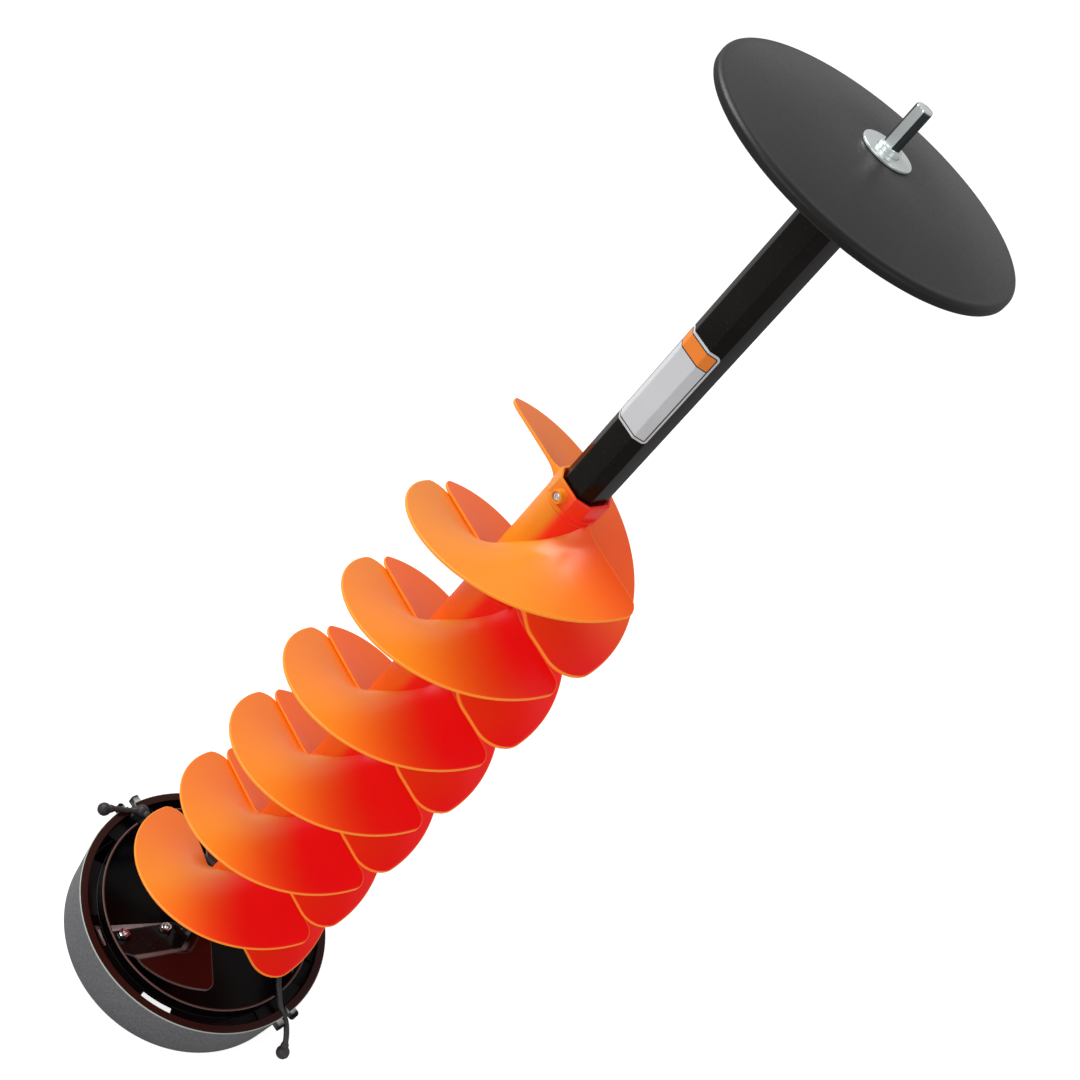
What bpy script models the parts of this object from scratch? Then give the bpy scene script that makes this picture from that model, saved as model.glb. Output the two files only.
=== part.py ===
import math

import bmesh
import bpy
from mathutils import Matrix, Vector

# Ice auger for a drill: an octagonal tube carries six two-blade flight modules, a lock collar,
# a float disc with its drive shank, and a cutting head that stands in a blade guard.
# Metres, +Z up along the auger, origin at the middle of the guard's underside.

for leftover in list(bpy.data.objects):
    bpy.data.objects.remove(leftover, do_unlink=True)

# Clearance between pieces that touch or seat in each other
GAP = 0.0003

# Drive tube, a square tube with chamfered corners
TUBE_WIDE = 0.0320
TUBE_NARROW_EXTRA = 0.0034
TUBE_WALL = 0.0025

# Flighting, two starts of half-turn blades on a sleeve
MODULE_COUNT = 6
MODULE_PITCH = 0.0993
SLEEVE_WALL = 0.0033
BLADE_RADIUS = 0.0985
BLADE_THICKNESS = 0.0028
BLADE_CORNER = 0.0160
BLADE_END_STEP = 0.0030
FRONT_LIFT = 0.0008
BACK_LIFT = 0.0083
FILLET_REACH = 0.0100
FILLET_HEIGHT = 0.0028

# Lock collar and its screw
COLLAR_WALL = 0.0040
COLLAR_HEIGHT = 0.0194
COLLAR_FOOT = 0.0034
COLLAR_RECESS = 0.0016
COLLAR_RECESS_DEPTH = 0.0030
BOSS_RADIUS = 0.0055
BOSS_PROUD = 0.0060
BOSS_HEIGHT = 0.0104
SCREW_RADIUS = 0.0020
SCREW_HEAD_RADIUS = 0.0033
SCREW_HEAD_HEIGHT = 0.0020
SCREW_SINK = 0.0004
CROSS_WIDTH = 0.0011
CROSS_DEPTH = 0.0012

# Float disc, a shallow dome with a turned-down lip
DISC_RADIUS = 0.1160
DISC_WALL = 0.0035
DISC_RISE = 0.0114
DISC_LIP = 0.0040
DISC_FLAT_MARGIN = 0.0115
TUBE_PROJECTION = 0.3182

# Drive shank with its plug, journal and shoulder
PLUG_LENGTH = 0.0400
JOURNAL_STEP = 0.0015
SHOULDER_STEP = 0.00165
SHOULDER_HEIGHT = 0.0055
SHANK_RADIUS = 0.00635
SHANK_LENGTH = 0.0300
SHANK_FLAT_CUT = 0.00095
SHANK_ROUND_LENGTH = 0.0040
SHANK_CHAMFER = 0.0008
WASHER_RADIUS = 0.0185
WASHER_THICKNESS = 0.0019

# Cutting head
HUB_BASE = 0.0260
HUB_WALL = 0.0018
HUB_WEB = 0.0040
HUB_SOCKET_DEPTH = 0.0382
HUB_CHAMFER = 0.0010
POINT_RADIUS = 0.0090
POINT_PLUG_RADIUS = 0.0060
POINT_PLUG_LENGTH = 0.0120
POINT_TIP_HEIGHT = 0.0110
WING_THICKNESS = 0.0030
WING_LEAD_ANGLE = -99.0
WING_SWEEP = 74.8
WING_LIFT = 0.0050
WING_RISE = 0.0259
WING_MOUNT_INSET = 0.0038
WING_FAN_INSET = 0.0110
WING_CORNER = 0.0090
MOUNT_TILT = 18.5
MOUNT_BLEND = 0.0120
MOUNT_MARGIN = 0.0012
MOUNT_SWEEP = 42.0
MOUNT_FADE = 15.0
CUTTER_THICKNESS = 0.0030
CUTTER_WIDTH = 0.0300
CUTTER_INNER = 0.0240
CUTTER_OUTER = 0.1008
CUTTER_LEAD = 0.0013
CUTTER_SKEW = 6.7
CUTTER_BEVEL = 0.0070
CUTTER_LAND = 0.0008
BOLT_RADIUS = 0.0030
BOLT_SETBACK = 0.0090
BOLT_INNER_STATION = 0.0390
BOLT_OUTER_INSET = 0.0188
BOLT_HEX = 0.0100
BOLT_HEAD_HEIGHT = 0.0040
BOLT_NUT_HEIGHT = 0.0050
BOLT_END = 0.0025

# Blade guard
GUARD_TURN = 12.2
GUARD_TAPER = 0.0053
GUARD_HEIGHT = 0.0540
GUARD_WALL = 0.0030
GUARD_FLOOR = 0.0030
GUARD_EDGE = 0.0015
RIM_WIDTH = 0.0080
CHANNEL_WIDTH = 0.0117
CHANNEL_DEPTH = 0.0075
WEB_THICKNESS = 0.0030
RING_CLEARANCE = 0.0012
RING_WALL = 0.0022
RING_PROUD = 0.0045
SLOT_COUNT = 8
SLOT_ANGLE = 16.0
SLOT_START = -52.0
SLOT_MARGIN = 0.0006
WINDOW_MIDDLE = -48.0
WINDOW_ANGLE = 28.0
WINDOW_SETBACK = 0.0125
WINDOW_LENGTH = 0.0150
NOTCH_WIDTH = 0.0080
NOTCH_DEPTH = 0.0095
RING_NOTCH_DEPTH = 0.0062
RING_NOTCH_SHIFT = 2.3
LUG_SPREAD = 4.3
LUG_WIDTH = 0.0070
LUG_HEIGHT = 0.0088
LUG_ROOT = 0.0040
LUG_DROP = 0.0006
LUG_REACH = 0.0068
STRAP_RADIUS = 0.0027
STRAP_BALL_RADIUS = 0.0065
STRAP_LIFT = 0.0075
STRAP_HUB_CLEARANCE = 0.0030

# Widths and radii that follow from the sizes above
TUBE_NARROW = TUBE_WIDE + TUBE_NARROW_EXTRA
TUBE_CORNER = math.hypot(TUBE_WIDE / 2, TUBE_NARROW / math.sqrt(2) - TUBE_WIDE / 2)
SLEEVE_RADIUS = TUBE_CORNER + GAP + SLEEVE_WALL
HUB_RADIUS = TUBE_CORNER + GAP + HUB_WALL
COLLAR_WIDE = TUBE_WIDE + 2 * COLLAR_WALL
COLLAR_NARROW = TUBE_NARROW + 2 * COLLAR_WALL
BOSS_REACH = COLLAR_WIDE / 2 + BOSS_PROUD
DISC_FLAT_RADIUS = WASHER_RADIUS + DISC_FLAT_MARGIN
SHOULDER_RADIUS = SHANK_RADIUS + SHOULDER_STEP
JOURNAL_RADIUS = SHOULDER_RADIUS + JOURNAL_STEP
SHANK_FLAT = SHANK_RADIUS - SHANK_FLAT_CUT
SHANK_FLAT_LENGTH = SHANK_LENGTH - SHANK_ROUND_LENGTH
WING_MOUNT_RADIUS = CUTTER_OUTER - WING_MOUNT_INSET
WING_FAN_RADIUS = WING_MOUNT_RADIUS - WING_FAN_INSET
BOLT_STATIONS = (BOLT_INNER_STATION, CUTTER_OUTER - BOLT_OUTER_INSET)
MOUNT_DEPTH = CUTTER_WIDTH
MOUNT_INNER = BOLT_STATIONS[0] - BOLT_HEX / math.sqrt(3) - MOUNT_MARGIN

# Layers of a bolted cutter, measured square to the mount from the middle of its plate
WING_HALF = WING_THICKNESS / 2
CUTTER_TOP = -WING_HALF - GAP
CUTTER_FOOT = CUTTER_TOP - CUTTER_THICKNESS
HEAD_TOP = CUTTER_FOOT - GAP
NUT_BASE = WING_HALF + GAP


def cutter_swing():
    """Farthest that a cutter's outer corners reach from the auger's axis."""
    tilt = math.radians(MOUNT_TILT)
    front = -CUTTER_LEAD - CUTTER_OUTER * math.tan(math.radians(CUTTER_SKEW))
    behind = [edge * math.cos(tilt) - CUTTER_FOOT * math.sin(tilt) for edge in (front, front + CUTTER_WIDTH)]
    return max(math.hypot(CUTTER_OUTER, edge) for edge in behind)


RING_INNER = cutter_swing() + RING_CLEARANCE
RING_RADIUS = RING_INNER + RING_WALL
CHANNEL_RADIUS = RING_RADIUS + CHANNEL_WIDTH
GUARD_RIM_RADIUS = CHANNEL_RADIUS + RIM_WIDTH
GUARD_BASE_RADIUS = GUARD_RIM_RADIUS - GUARD_TAPER
WINDOW_OUTER = RING_INNER - WINDOW_SETBACK
WINDOW_INNER = WINDOW_OUTER - WINDOW_LENGTH

# Heights that follow from the sizes above
HUB_HEIGHT = HUB_SOCKET_DEPTH + POINT_PLUG_LENGTH + HUB_WEB
HUB_TOP = HUB_BASE + HUB_HEIGHT
TUBE_BASE = HUB_TOP - HUB_SOCKET_DEPTH + GAP
FLIGHT_BASE = HUB_TOP + GAP
MODULE_HEIGHT = MODULE_PITCH - GAP
FLIGHT_TOP = FLIGHT_BASE + MODULE_COUNT * MODULE_PITCH
COLLAR_TOP = FLIGHT_TOP + COLLAR_HEIGHT
TUBE_TOP = COLLAR_TOP + TUBE_PROJECTION
DISC_BASE = TUBE_TOP + GAP
DISC_TOP = DISC_BASE + DISC_WALL
BLADE_RISE = MODULE_PITCH - BLADE_END_STEP
BLADE_SLOPE = BLADE_RISE / math.pi
WING_BASE = HUB_BASE + WING_LIFT
WING_SLOPE = WING_RISE / math.radians(WING_SWEEP)
WEB_TOP = GUARD_HEIGHT - CHANNEL_DEPTH
RING_TOP = GUARD_HEIGHT + RING_PROUD

PARTS = bpy.data.collections.new("ice_auger")
CUTTERS = bpy.data.collections.new("cutters")
bpy.context.scene.collection.children.link(PARTS)
bpy.context.scene.collection.children.link(CUTTERS)


def principled(name, color, roughness, metallic=0.0):
    material = bpy.data.materials.new(name)
    material.use_nodes = True
    shader = material.node_tree.nodes["Principled BSDF"]
    shader.inputs["Base Color"].default_value = (*color, 1.0)
    shader.inputs["Roughness"].default_value = roughness
    shader.inputs["Metallic"].default_value = metallic
    material.diffuse_color = (*color, 1.0)
    return material


ORANGE = principled("orange_plastic", (0.85, 0.16, 0.02), 0.3)
BLACK_PAINT = principled("black_gloss_paint", (0.012, 0.011, 0.011), 0.2)
BLACK_PLASTIC = principled("black_satin_plastic", (0.02, 0.02, 0.021), 0.45)
GREY_PLASTIC = principled("dark_grey_plastic", (0.055, 0.055, 0.057), 0.5)
RUBBER = principled("black_rubber", (0.03, 0.03, 0.032), 0.6)
STEEL = principled("cutter_steel", (0.45, 0.43, 0.42), 0.3, 1.0)
ZINC = principled("zinc_plate", (0.62, 0.62, 0.64), 0.28, 1.0)


# Placing and turning objects into nodes

def place(obj, name, material, collection=PARTS):
    obj.name = name
    obj.data.name = name
    for owner in list(obj.users_collection):
        owner.objects.unlink(obj)
    collection.objects.link(obj)
    if material:
        obj.data.materials.clear()
        obj.data.materials.append(material)
    return obj


def as_cutter(obj, name):
    place(obj, name, None, CUTTERS)
    obj.hide_render = True
    obj.display_type = "WIRE"
    return obj


def smooth(mesh, angle=32):
    mesh.shade_smooth()
    mesh.set_sharp_from_angle(angle=math.radians(angle))


def evaluated_mesh(obj):
    depsgraph = bpy.context.evaluated_depsgraph_get()
    return bpy.data.meshes.new_from_object(obj.evaluated_get(depsgraph))


def frozen(obj):
    """Replace a curve or an unapplied stack by its closed mesh."""
    mesh = evaluated_mesh(obj)
    work = bmesh.new()
    work.from_mesh(mesh)
    bmesh.ops.remove_doubles(work, verts=work.verts, dist=1e-6)
    bmesh.ops.recalc_face_normals(work, faces=work.faces)
    work.to_mesh(mesh)
    work.free()
    solid = bpy.data.objects.new(obj.name, mesh)
    solid.matrix_world = obj.matrix_world.copy()
    bpy.context.scene.collection.objects.link(solid)
    bpy.data.objects.remove(obj, do_unlink=True)
    return solid


def boolean(obj, other, operation="DIFFERENCE"):
    modifier = obj.modifiers.new(operation.lower(), "BOOLEAN")
    modifier.operation = operation
    modifier.solver = "EXACT"
    modifier.object = other
    return modifier


# Outlines and solids

def octagon(wide, narrow, grow=0.0):
    """Corners of a chamfered square, by its widths across the wide and the narrow flats."""
    half = wide / 2 + grow
    corner = (narrow / 2 + grow) * math.sqrt(2) - half
    quarter = [(half, -corner), (half, corner), (corner, half), (-corner, half)]
    return quarter + [(-x, -y) for x, y in quarter]


def sector(inner, outer, middle, spread, steps=3):
    """Ring sector: out along the outer arc and back along the inner one, angles in degrees."""
    angles = [math.radians(middle + spread * (k / steps - 0.5)) for k in range(steps + 1)]
    outside = [(outer * math.cos(a), outer * math.sin(a)) for a in angles]
    inside = [(inner * math.cos(a), inner * math.sin(a)) for a in reversed(angles)]
    return outside + inside


def prism(outlines, base, top):
    """Flat outlines, holes included, raised from base to top."""
    curve = bpy.data.curves.new("outline", "CURVE")
    curve.dimensions = "2D"
    curve.fill_mode = "BOTH"
    curve.extrude = (top - base) / 2
    for outline in outlines:
        spline = curve.splines.new("POLY")
        spline.points.add(len(outline) - 1)
        for point, (x, y) in zip(spline.points, outline):
            point.co = (x, y, 0.0, 1.0)
        spline.use_cyclic_u = True
    obj = bpy.data.objects.new("outline", curve)
    bpy.context.scene.collection.objects.link(obj)
    obj.location.z = (top + base) / 2
    bpy.context.view_layer.update()
    solid = frozen(obj)
    solid.data.transform(solid.matrix_world)
    solid.matrix_world = Matrix()
    return solid


def cylinder(radius, base, top, sides=32):
    bpy.ops.mesh.primitive_cylinder_add(vertices=sides, radius=radius, depth=top - base,
                                        location=(0.0, 0.0, (top + base) / 2))
    return bpy.context.object


def block(size, centre, turn=0.0):
    """Box of the given size, centred on a point and turned about Z by degrees."""
    bpy.ops.mesh.primitive_cube_add(size=1.0)
    obj = bpy.context.object
    obj.data.transform(Matrix.Diagonal((*size, 1.0)))
    obj.data.transform(Matrix.Translation(centre))
    obj.data.transform(Matrix.Rotation(math.radians(turn), 4, "Z"))
    return obj


def turned(profile, steps=48):
    """Solid of revolution about Z from (radius, height) points that run down the outer side."""
    mesh = bpy.data.meshes.new("profile")
    edges = [(k, k + 1) for k in range(len(profile) - 1)]
    if profile[0][0] > 0:
        edges.append((len(profile) - 1, 0))
    mesh.from_pydata([(r, 0.0, z) for r, z in profile], edges, [])
    obj = bpy.data.objects.new("profile", mesh)
    bpy.context.scene.collection.objects.link(obj)
    screw = obj.modifiers.new("turn", "SCREW")
    screw.steps = steps
    screw.render_steps = steps
    screw.use_merge_vertices = True
    screw.merge_threshold = 0.00001
    screw.use_smooth_shade = True
    return obj


def twisted_plate(radii, steps, surface, half_height):
    """Plate of radial rulings: a grid laid on a surface, then thickened up and down."""
    work = bmesh.new()
    bmesh.ops.create_grid(work, x_segments=steps, y_segments=len(radii) - 1, size=1.0)
    for vert in work.verts:
        along = (vert.co.x + 1) / 2
        radius = radii[round((vert.co.y + 1) / 2 * (len(radii) - 1))]
        vert.co = surface(along, radius)
    lower = list(work.verts)
    raised = bmesh.ops.extrude_face_region(work, geom=work.faces[:], use_keep_orig=True)
    upper = [item for item in raised["geom"] if isinstance(item, bmesh.types.BMVert)]
    for verts, side in ((lower, -1), (upper, 1)):
        for vert in verts:
            vert.co.z += side * half_height(vert.co.xy.length)
    bmesh.ops.recalc_face_normals(work, faces=work.faces)
    mesh = bpy.data.meshes.new("plate")
    work.to_mesh(mesh)
    work.free()
    obj = bpy.data.objects.new("plate", mesh)
    bpy.context.scene.collection.objects.link(obj)
    return obj


def corner_radii(outer, corner, steps=3):
    """Radii where a plate's rounded corner is cut, up to the outer edge."""
    return [outer - corner * (1 - math.sin(math.pi / 2 * k / steps)) for k in range(steps + 1)]


def corner_setback(radius, outer, corner):
    """How far a rounded corner pulls the plate's end back at a radius."""
    inside = max(0.0, radius - (outer - corner))
    return corner - math.sqrt(max(0.0, corner ** 2 - inside ** 2))


# Flighting: each blade is half a turn of a helicoid with level rulings, free at both ends in
# the plane y = 0. Height = foot + slope * angle, and a flare carries it into the sleeve.

def blade(first_angle, foot):
    inner = SLEEVE_RADIUS - 0.0016
    radii = [inner, SLEEVE_RADIUS + 0.4 * FILLET_REACH, SLEEVE_RADIUS + FILLET_REACH]
    radii.append((SLEEVE_RADIUS + BLADE_RADIUS) / 2)
    radii += corner_radii(BLADE_RADIUS, BLADE_CORNER, 2)

    def surface(along, radius):
        setback = GAP / 2 + corner_setback(radius, BLADE_RADIUS, BLADE_CORNER)
        margin = math.asin(setback / radius)
        turn = margin + along * (math.pi - 2 * margin)
        angle = first_angle + turn
        return Vector((radius * math.cos(angle), radius * math.sin(angle), foot + BLADE_SLOPE * turn))

    def half_height(radius):
        steepness = math.hypot(1.0, BLADE_SLOPE / radius)
        near = max(0.0, 1 - (radius - SLEEVE_RADIUS) / FILLET_REACH)
        return BLADE_THICKNESS / 2 * steepness + FILLET_HEIGHT * min(1.0, near) ** 2

    return twisted_plate(radii, 12, surface, half_height)


def flight_modules():
    over = 0.0020
    module = cylinder(SLEEVE_RADIUS, -over, MODULE_HEIGHT + over, 28)
    front = as_cutter(blade(math.pi, FRONT_LIFT), "flight_front_blade")
    back = as_cutter(blade(0.0, BACK_LIFT), "flight_back_blade")
    bore = as_cutter(prism([octagon(TUBE_WIDE, TUBE_NARROW, GAP)], -0.03, MODULE_HEIGHT + 0.03),
                     "flight_bore")
    clear = SLEEVE_RADIUS + GAP
    above = as_cutter(cylinder(clear, MODULE_HEIGHT, MODULE_HEIGHT + 0.025), "flight_top_trim")
    below = as_cutter(cylinder(clear, -0.025, 0.0), "flight_foot_trim")
    boolean(module, front, "UNION")
    boolean(module, back, "UNION")
    boolean(module, above)
    boolean(module, below)
    boolean(module, bore)
    bpy.context.view_layer.update()
    mesh = evaluated_mesh(module)
    mesh.transform(module.matrix_world)
    smooth(mesh)
    bpy.data.objects.remove(module, do_unlink=True)
    for k in range(MODULE_COUNT):
        copy = bpy.data.objects.new("flight_module", mesh)
        bpy.context.scene.collection.objects.link(copy)
        copy.location.z = FLIGHT_TOP - MODULE_PITCH * (k + 1)
        place(copy, f"flight_module_{k + 1}", ORANGE)


def drive_tube():
    tube = prism([octagon(TUBE_WIDE, TUBE_NARROW), octagon(TUBE_WIDE, TUBE_NARROW, -TUBE_WALL)],
                 TUBE_BASE, TUBE_TOP)
    place(tube, "drive_tube", BLACK_PAINT)


# Lock collar: octagonal over a round foot, with a screw boss on the side at -Y

def lock_collar():
    collar = prism([octagon(COLLAR_WIDE, COLLAR_NARROW)], FLIGHT_TOP + COLLAR_FOOT, COLLAR_TOP)
    edge = collar.modifiers.new("edge", "BEVEL")
    edge.width = 0.0010
    edge.segments = 2
    edge.limit_method = "ANGLE"
    edge.angle_limit = math.radians(60)
    foot = as_cutter(cylinder(SLEEVE_RADIUS, FLIGHT_TOP, FLIGHT_TOP + COLLAR_FOOT + 0.002),
                     "collar_foot")
    boolean(collar, foot, "UNION")
    boss = along_screw(BOSS_RADIUS, TUBE_WIDE / 2 + 0.001, BOSS_REACH, 20)
    boolean(collar, as_cutter(boss, "collar_boss"), "UNION")
    bore = prism([octagon(TUBE_WIDE, TUBE_NARROW, GAP)], FLIGHT_TOP - 0.01, COLLAR_TOP + 0.01)
    boolean(collar, as_cutter(bore, "collar_bore"))
    recess = prism([octagon(TUBE_WIDE, TUBE_NARROW, COLLAR_RECESS)],
                   COLLAR_TOP - COLLAR_RECESS_DEPTH, COLLAR_TOP + 0.01)
    boolean(collar, as_cutter(recess, "collar_recess"))
    head_seat = BOSS_REACH - SCREW_SINK - SCREW_HEAD_HEIGHT - GAP
    counterbore = along_screw(SCREW_HEAD_RADIUS + GAP, head_seat, BOSS_REACH + 0.01, 16)
    boolean(collar, as_cutter(counterbore, "collar_counterbore"))
    hole = along_screw(SCREW_RADIUS + GAP, 0.0, BOSS_REACH, 12)
    boolean(collar, as_cutter(hole, "collar_screw_hole"))
    smooth(collar.data)
    place(collar, "lock_collar", ORANGE)


def along_screw(radius, near, far, sides):
    """Cylinder on the screw's axis, between two distances from the tube's axis."""
    obj = cylinder(radius, near, far, sides)
    obj.data.transform(Matrix.Translation(obj.location))
    obj.location = (0.0, 0.0, 0.0)
    obj.data.transform(Matrix.Rotation(math.radians(90), 4, "X"))
    obj.data.transform(Matrix.Translation((0.0, 0.0, FLIGHT_TOP + BOSS_HEIGHT)))
    return obj


def collar_screw():
    head_top = BOSS_REACH - SCREW_SINK
    head_base = head_top - SCREW_HEAD_HEIGHT
    profile = [(0.0, head_top), (SCREW_HEAD_RADIUS * 0.7, head_top),
               (SCREW_HEAD_RADIUS, head_base + SCREW_HEAD_HEIGHT * 0.4), (SCREW_HEAD_RADIUS, head_base),
               (SCREW_RADIUS, head_base), (SCREW_RADIUS, TUBE_WIDE / 2 + GAP), (0.0, TUBE_WIDE / 2 + GAP)]
    screw = turned(profile, 16)
    for k in range(2):
        size = (SCREW_HEAD_RADIUS * 1.3, CROSS_WIDTH, CROSS_DEPTH * 2)
        bar = block(size, (0.0, 0.0, head_top), 45 + 90 * k)
        boolean(screw, as_cutter(bar, f"screw_cross_{k + 1}"))
    screw.rotation_euler.x = math.radians(90)
    screw.location.z = FLIGHT_TOP + BOSS_HEIGHT
    place(screw, "collar_screw", ZINC)


# Float disc on the end of the tube, held by the shank's journal and a washer

def float_disc():
    rim_top = DISC_TOP - DISC_RISE
    bore = JOURNAL_RADIUS + GAP
    shoulder = DISC_RADIUS - 0.0030
    lip_base = rim_top - DISC_WALL - DISC_LIP
    dome = []
    steps = 2
    for k in range(steps + 1):
        u = k / steps
        radius = DISC_FLAT_RADIUS + (shoulder - DISC_FLAT_RADIUS) * u
        dome.append((radius, DISC_TOP - DISC_RISE * u ** 2 * (1.5 - 0.5 * u)))
    outer = [(bore, DISC_TOP)] + dome + [(DISC_RADIUS - 0.0008, rim_top - 0.0010),
                                         (DISC_RADIUS, rim_top - 0.0030), (DISC_RADIUS, lip_base)]
    inner = [(DISC_RADIUS - 0.0025, lip_base), (DISC_RADIUS - 0.0035, rim_top - DISC_WALL)]
    inner += [(radius, height - DISC_WALL) for radius, height in reversed(dome[:-1])]
    disc = turned(outer + inner + [(bore, DISC_BASE)], 44)
    place(disc, "float_disc", BLACK_PLASTIC)


def disc_washer():
    base = DISC_TOP + GAP
    top = base + WASHER_THICKNESS
    bore = SHOULDER_RADIUS + GAP
    washer = turned([(bore, top), (WASHER_RADIUS - 0.0004, top), (WASHER_RADIUS, top - 0.0004),
                     (WASHER_RADIUS, base), (bore, base)], 28)
    place(washer, "disc_washer", ZINC)


def shank_adapter():
    shoulder_top = DISC_TOP + SHOULDER_HEIGHT
    shank_top = shoulder_top + SHANK_LENGTH
    plug = TUBE_WIDE / 2 - TUBE_WALL - GAP
    profile = [(0.0, shank_top), (SHANK_RADIUS - SHANK_CHAMFER, shank_top),
               (SHANK_RADIUS, shank_top - SHANK_CHAMFER), (SHANK_RADIUS, shoulder_top),
               (SHOULDER_RADIUS, shoulder_top), (SHOULDER_RADIUS, DISC_TOP),
               (JOURNAL_RADIUS, DISC_TOP), (JOURNAL_RADIUS, TUBE_TOP),
               (plug, TUBE_TOP), (plug, TUBE_TOP - PLUG_LENGTH), (0.0, TUBE_TOP - PLUG_LENGTH)]
    adapter = turned(profile, 24)
    smooth(adapter.data)
    for k in range(3):
        flat = block((0.008, 0.02, SHANK_FLAT_LENGTH),
                     (SHANK_FLAT + 0.004, 0.0, shank_top + 0.001 - SHANK_FLAT_LENGTH / 2), -90 + 120 * k)
        boolean(adapter, as_cutter(flat, f"shank_flat_{k + 1}"))
    place(adapter, "shank_adapter", ZINC)


# Cutting head: hub, two pressed wings, two bolted cutters and a centre point

def head_hub():
    profile = [(0.0, HUB_TOP), (HUB_RADIUS - HUB_CHAMFER, HUB_TOP), (HUB_RADIUS, HUB_TOP - HUB_CHAMFER),
               (HUB_RADIUS, HUB_BASE + HUB_CHAMFER), (HUB_RADIUS - HUB_CHAMFER, HUB_BASE), (0.0, HUB_BASE)]
    hub = turned(profile, 32)
    socket = prism([octagon(TUBE_WIDE, TUBE_NARROW, GAP)], HUB_TOP - HUB_SOCKET_DEPTH, HUB_TOP + 0.01)
    boolean(hub, as_cutter(socket, "hub_socket"))
    pocket = cylinder(POINT_PLUG_RADIUS + GAP, HUB_BASE - 0.01, HUB_BASE + POINT_PLUG_LENGTH + GAP, 24)
    boolean(hub, as_cutter(pocket, "hub_point_pocket"))
    place(hub, "head_hub", BLACK_PAINT)


def centre_point():
    top = HUB_BASE + POINT_PLUG_LENGTH
    collar = HUB_BASE - GAP
    tip = GUARD_FLOOR + 0.0004
    profile = [(0.0, top), (POINT_PLUG_RADIUS - 0.0005, top), (POINT_PLUG_RADIUS, top - 0.0005),
               (POINT_PLUG_RADIUS, collar), (POINT_RADIUS, collar),
               (POINT_RADIUS, tip + POINT_TIP_HEIGHT), (0.0006, tip), (0.0, tip)]
    place(turned(profile, 20), "centre_point", STEEL)


def smoothstep(value):
    value = min(1.0, max(0.0, value))
    return value * value * (3 - 2 * value)


def wing_height(radius, turn):
    """A flat mount behind the leading ruling, then a helicoid that sweeps up to the hub."""
    behind = radius * math.sin(turn)
    flat = WING_BASE + behind * math.tan(math.radians(MOUNT_TILT))
    twisted = WING_BASE + WING_SLOPE * turn
    past_plate = smoothstep((behind - MOUNT_DEPTH) / MOUNT_BLEND)
    past_sweep = smoothstep((math.degrees(turn) - MOUNT_SWEEP) / MOUNT_FADE)
    clear_of_mount = max(past_plate, past_sweep)
    off_hub = smoothstep((radius - HUB_RADIUS) / (MOUNT_INNER - HUB_RADIUS))
    blend = 1 - (1 - clear_of_mount) * off_hub
    return flat + (twisted - flat) * blend


def wing_reach(turn):
    """Outer radius of a wing: full at the mount, then drawn in to the fan."""
    drawn = smoothstep((math.degrees(turn) - 12) / 12)
    return WING_MOUNT_RADIUS + (WING_FAN_RADIUS - WING_MOUNT_RADIUS) * drawn


def wing_blank():
    sweep = math.radians(WING_SWEEP)
    lead = math.radians(WING_LEAD_ANGLE)
    inner = HUB_RADIUS + GAP
    shares = [0.0, 0.06, 0.14, 0.34, 0.62]
    fan = [(radius - inner) / (WING_FAN_RADIUS - inner)
           for radius in corner_radii(WING_FAN_RADIUS, WING_CORNER, 2)]

    def surface(along, share):
        turn = sweep * along
        radius = inner + (wing_reach(turn) - inner) * share
        setback = corner_setback(radius, WING_FAN_RADIUS, WING_CORNER)
        turn -= max(0.0, along - 0.5) * 2 * math.asin(setback / radius) if along > 0.5 else 0.0
        angle = lead + turn
        return Vector((radius * math.cos(angle), radius * math.sin(angle), wing_height(radius, turn)))

    def half_height(radius):
        return WING_THICKNESS / 2 * math.hypot(1.0, WING_SLOPE / radius)

    return twisted_plate(shares + fan, 18, surface, half_height)


def mount_frame():
    """Frame of the flat mount: X out along the leading ruling, Y back, Z square to the plate."""
    turn = Matrix.Rotation(math.radians(WING_LEAD_ANGLE), 4, "Z")
    tilt = Matrix.Rotation(math.radians(MOUNT_TILT), 4, "X")
    return Matrix.Translation((0.0, 0.0, WING_BASE)) @ turn @ tilt


def on_mount(obj):
    """Take an object built about the mount's frame into place, its mesh included."""
    bpy.context.view_layer.update()
    obj.data.transform(mount_frame() @ obj.matrix_world)
    obj.matrix_world = Matrix()
    return obj


def bolt_hole(station, name):
    hole = cylinder(BOLT_RADIUS + GAP, -0.02, 0.02, 16)
    hole.location = (station, BOLT_SETBACK, 0.0)
    return as_cutter(on_mount(hole), name)


def cutter_blank():
    """Straight bar under the mount: a skewed leading edge, ground to a bevel on its top."""
    skew = math.tan(math.radians(CUTTER_SKEW))
    inner_edge = -CUTTER_LEAD - CUTTER_INNER * skew
    outer_edge = -CUTTER_LEAD - CUTTER_OUTER * skew
    outline = [(CUTTER_INNER, inner_edge), (CUTTER_OUTER, outer_edge),
               (CUTTER_OUTER, outer_edge + CUTTER_WIDTH), (CUTTER_INNER, inner_edge + CUTTER_WIDTH)]
    bar = prism([outline], CUTTER_FOOT, CUTTER_TOP)
    rake = math.atan2(CUTTER_THICKNESS - CUTTER_LAND, CUTTER_BEVEL)
    wedge = block((3 * CUTTER_OUTER, CUTTER_WIDTH, CUTTER_WIDTH), (0.0, -CUTTER_WIDTH / 2, CUTTER_WIDTH / 2))
    wedge.data.transform(Matrix.Rotation(rake, 4, "X"))
    wedge.data.transform(Matrix.Translation((0.0, CUTTER_BEVEL, CUTTER_TOP)))
    wedge.data.transform(Matrix.Rotation(-math.radians(CUTTER_SKEW), 4, "Z"))
    wedge.data.transform(Matrix.Translation((0.0, -CUTTER_LEAD, 0.0)))
    boolean(bar, as_cutter(wedge, "cutter_bevel"))
    bpy.context.view_layer.update()
    return on_mount(frozen(bar))


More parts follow.
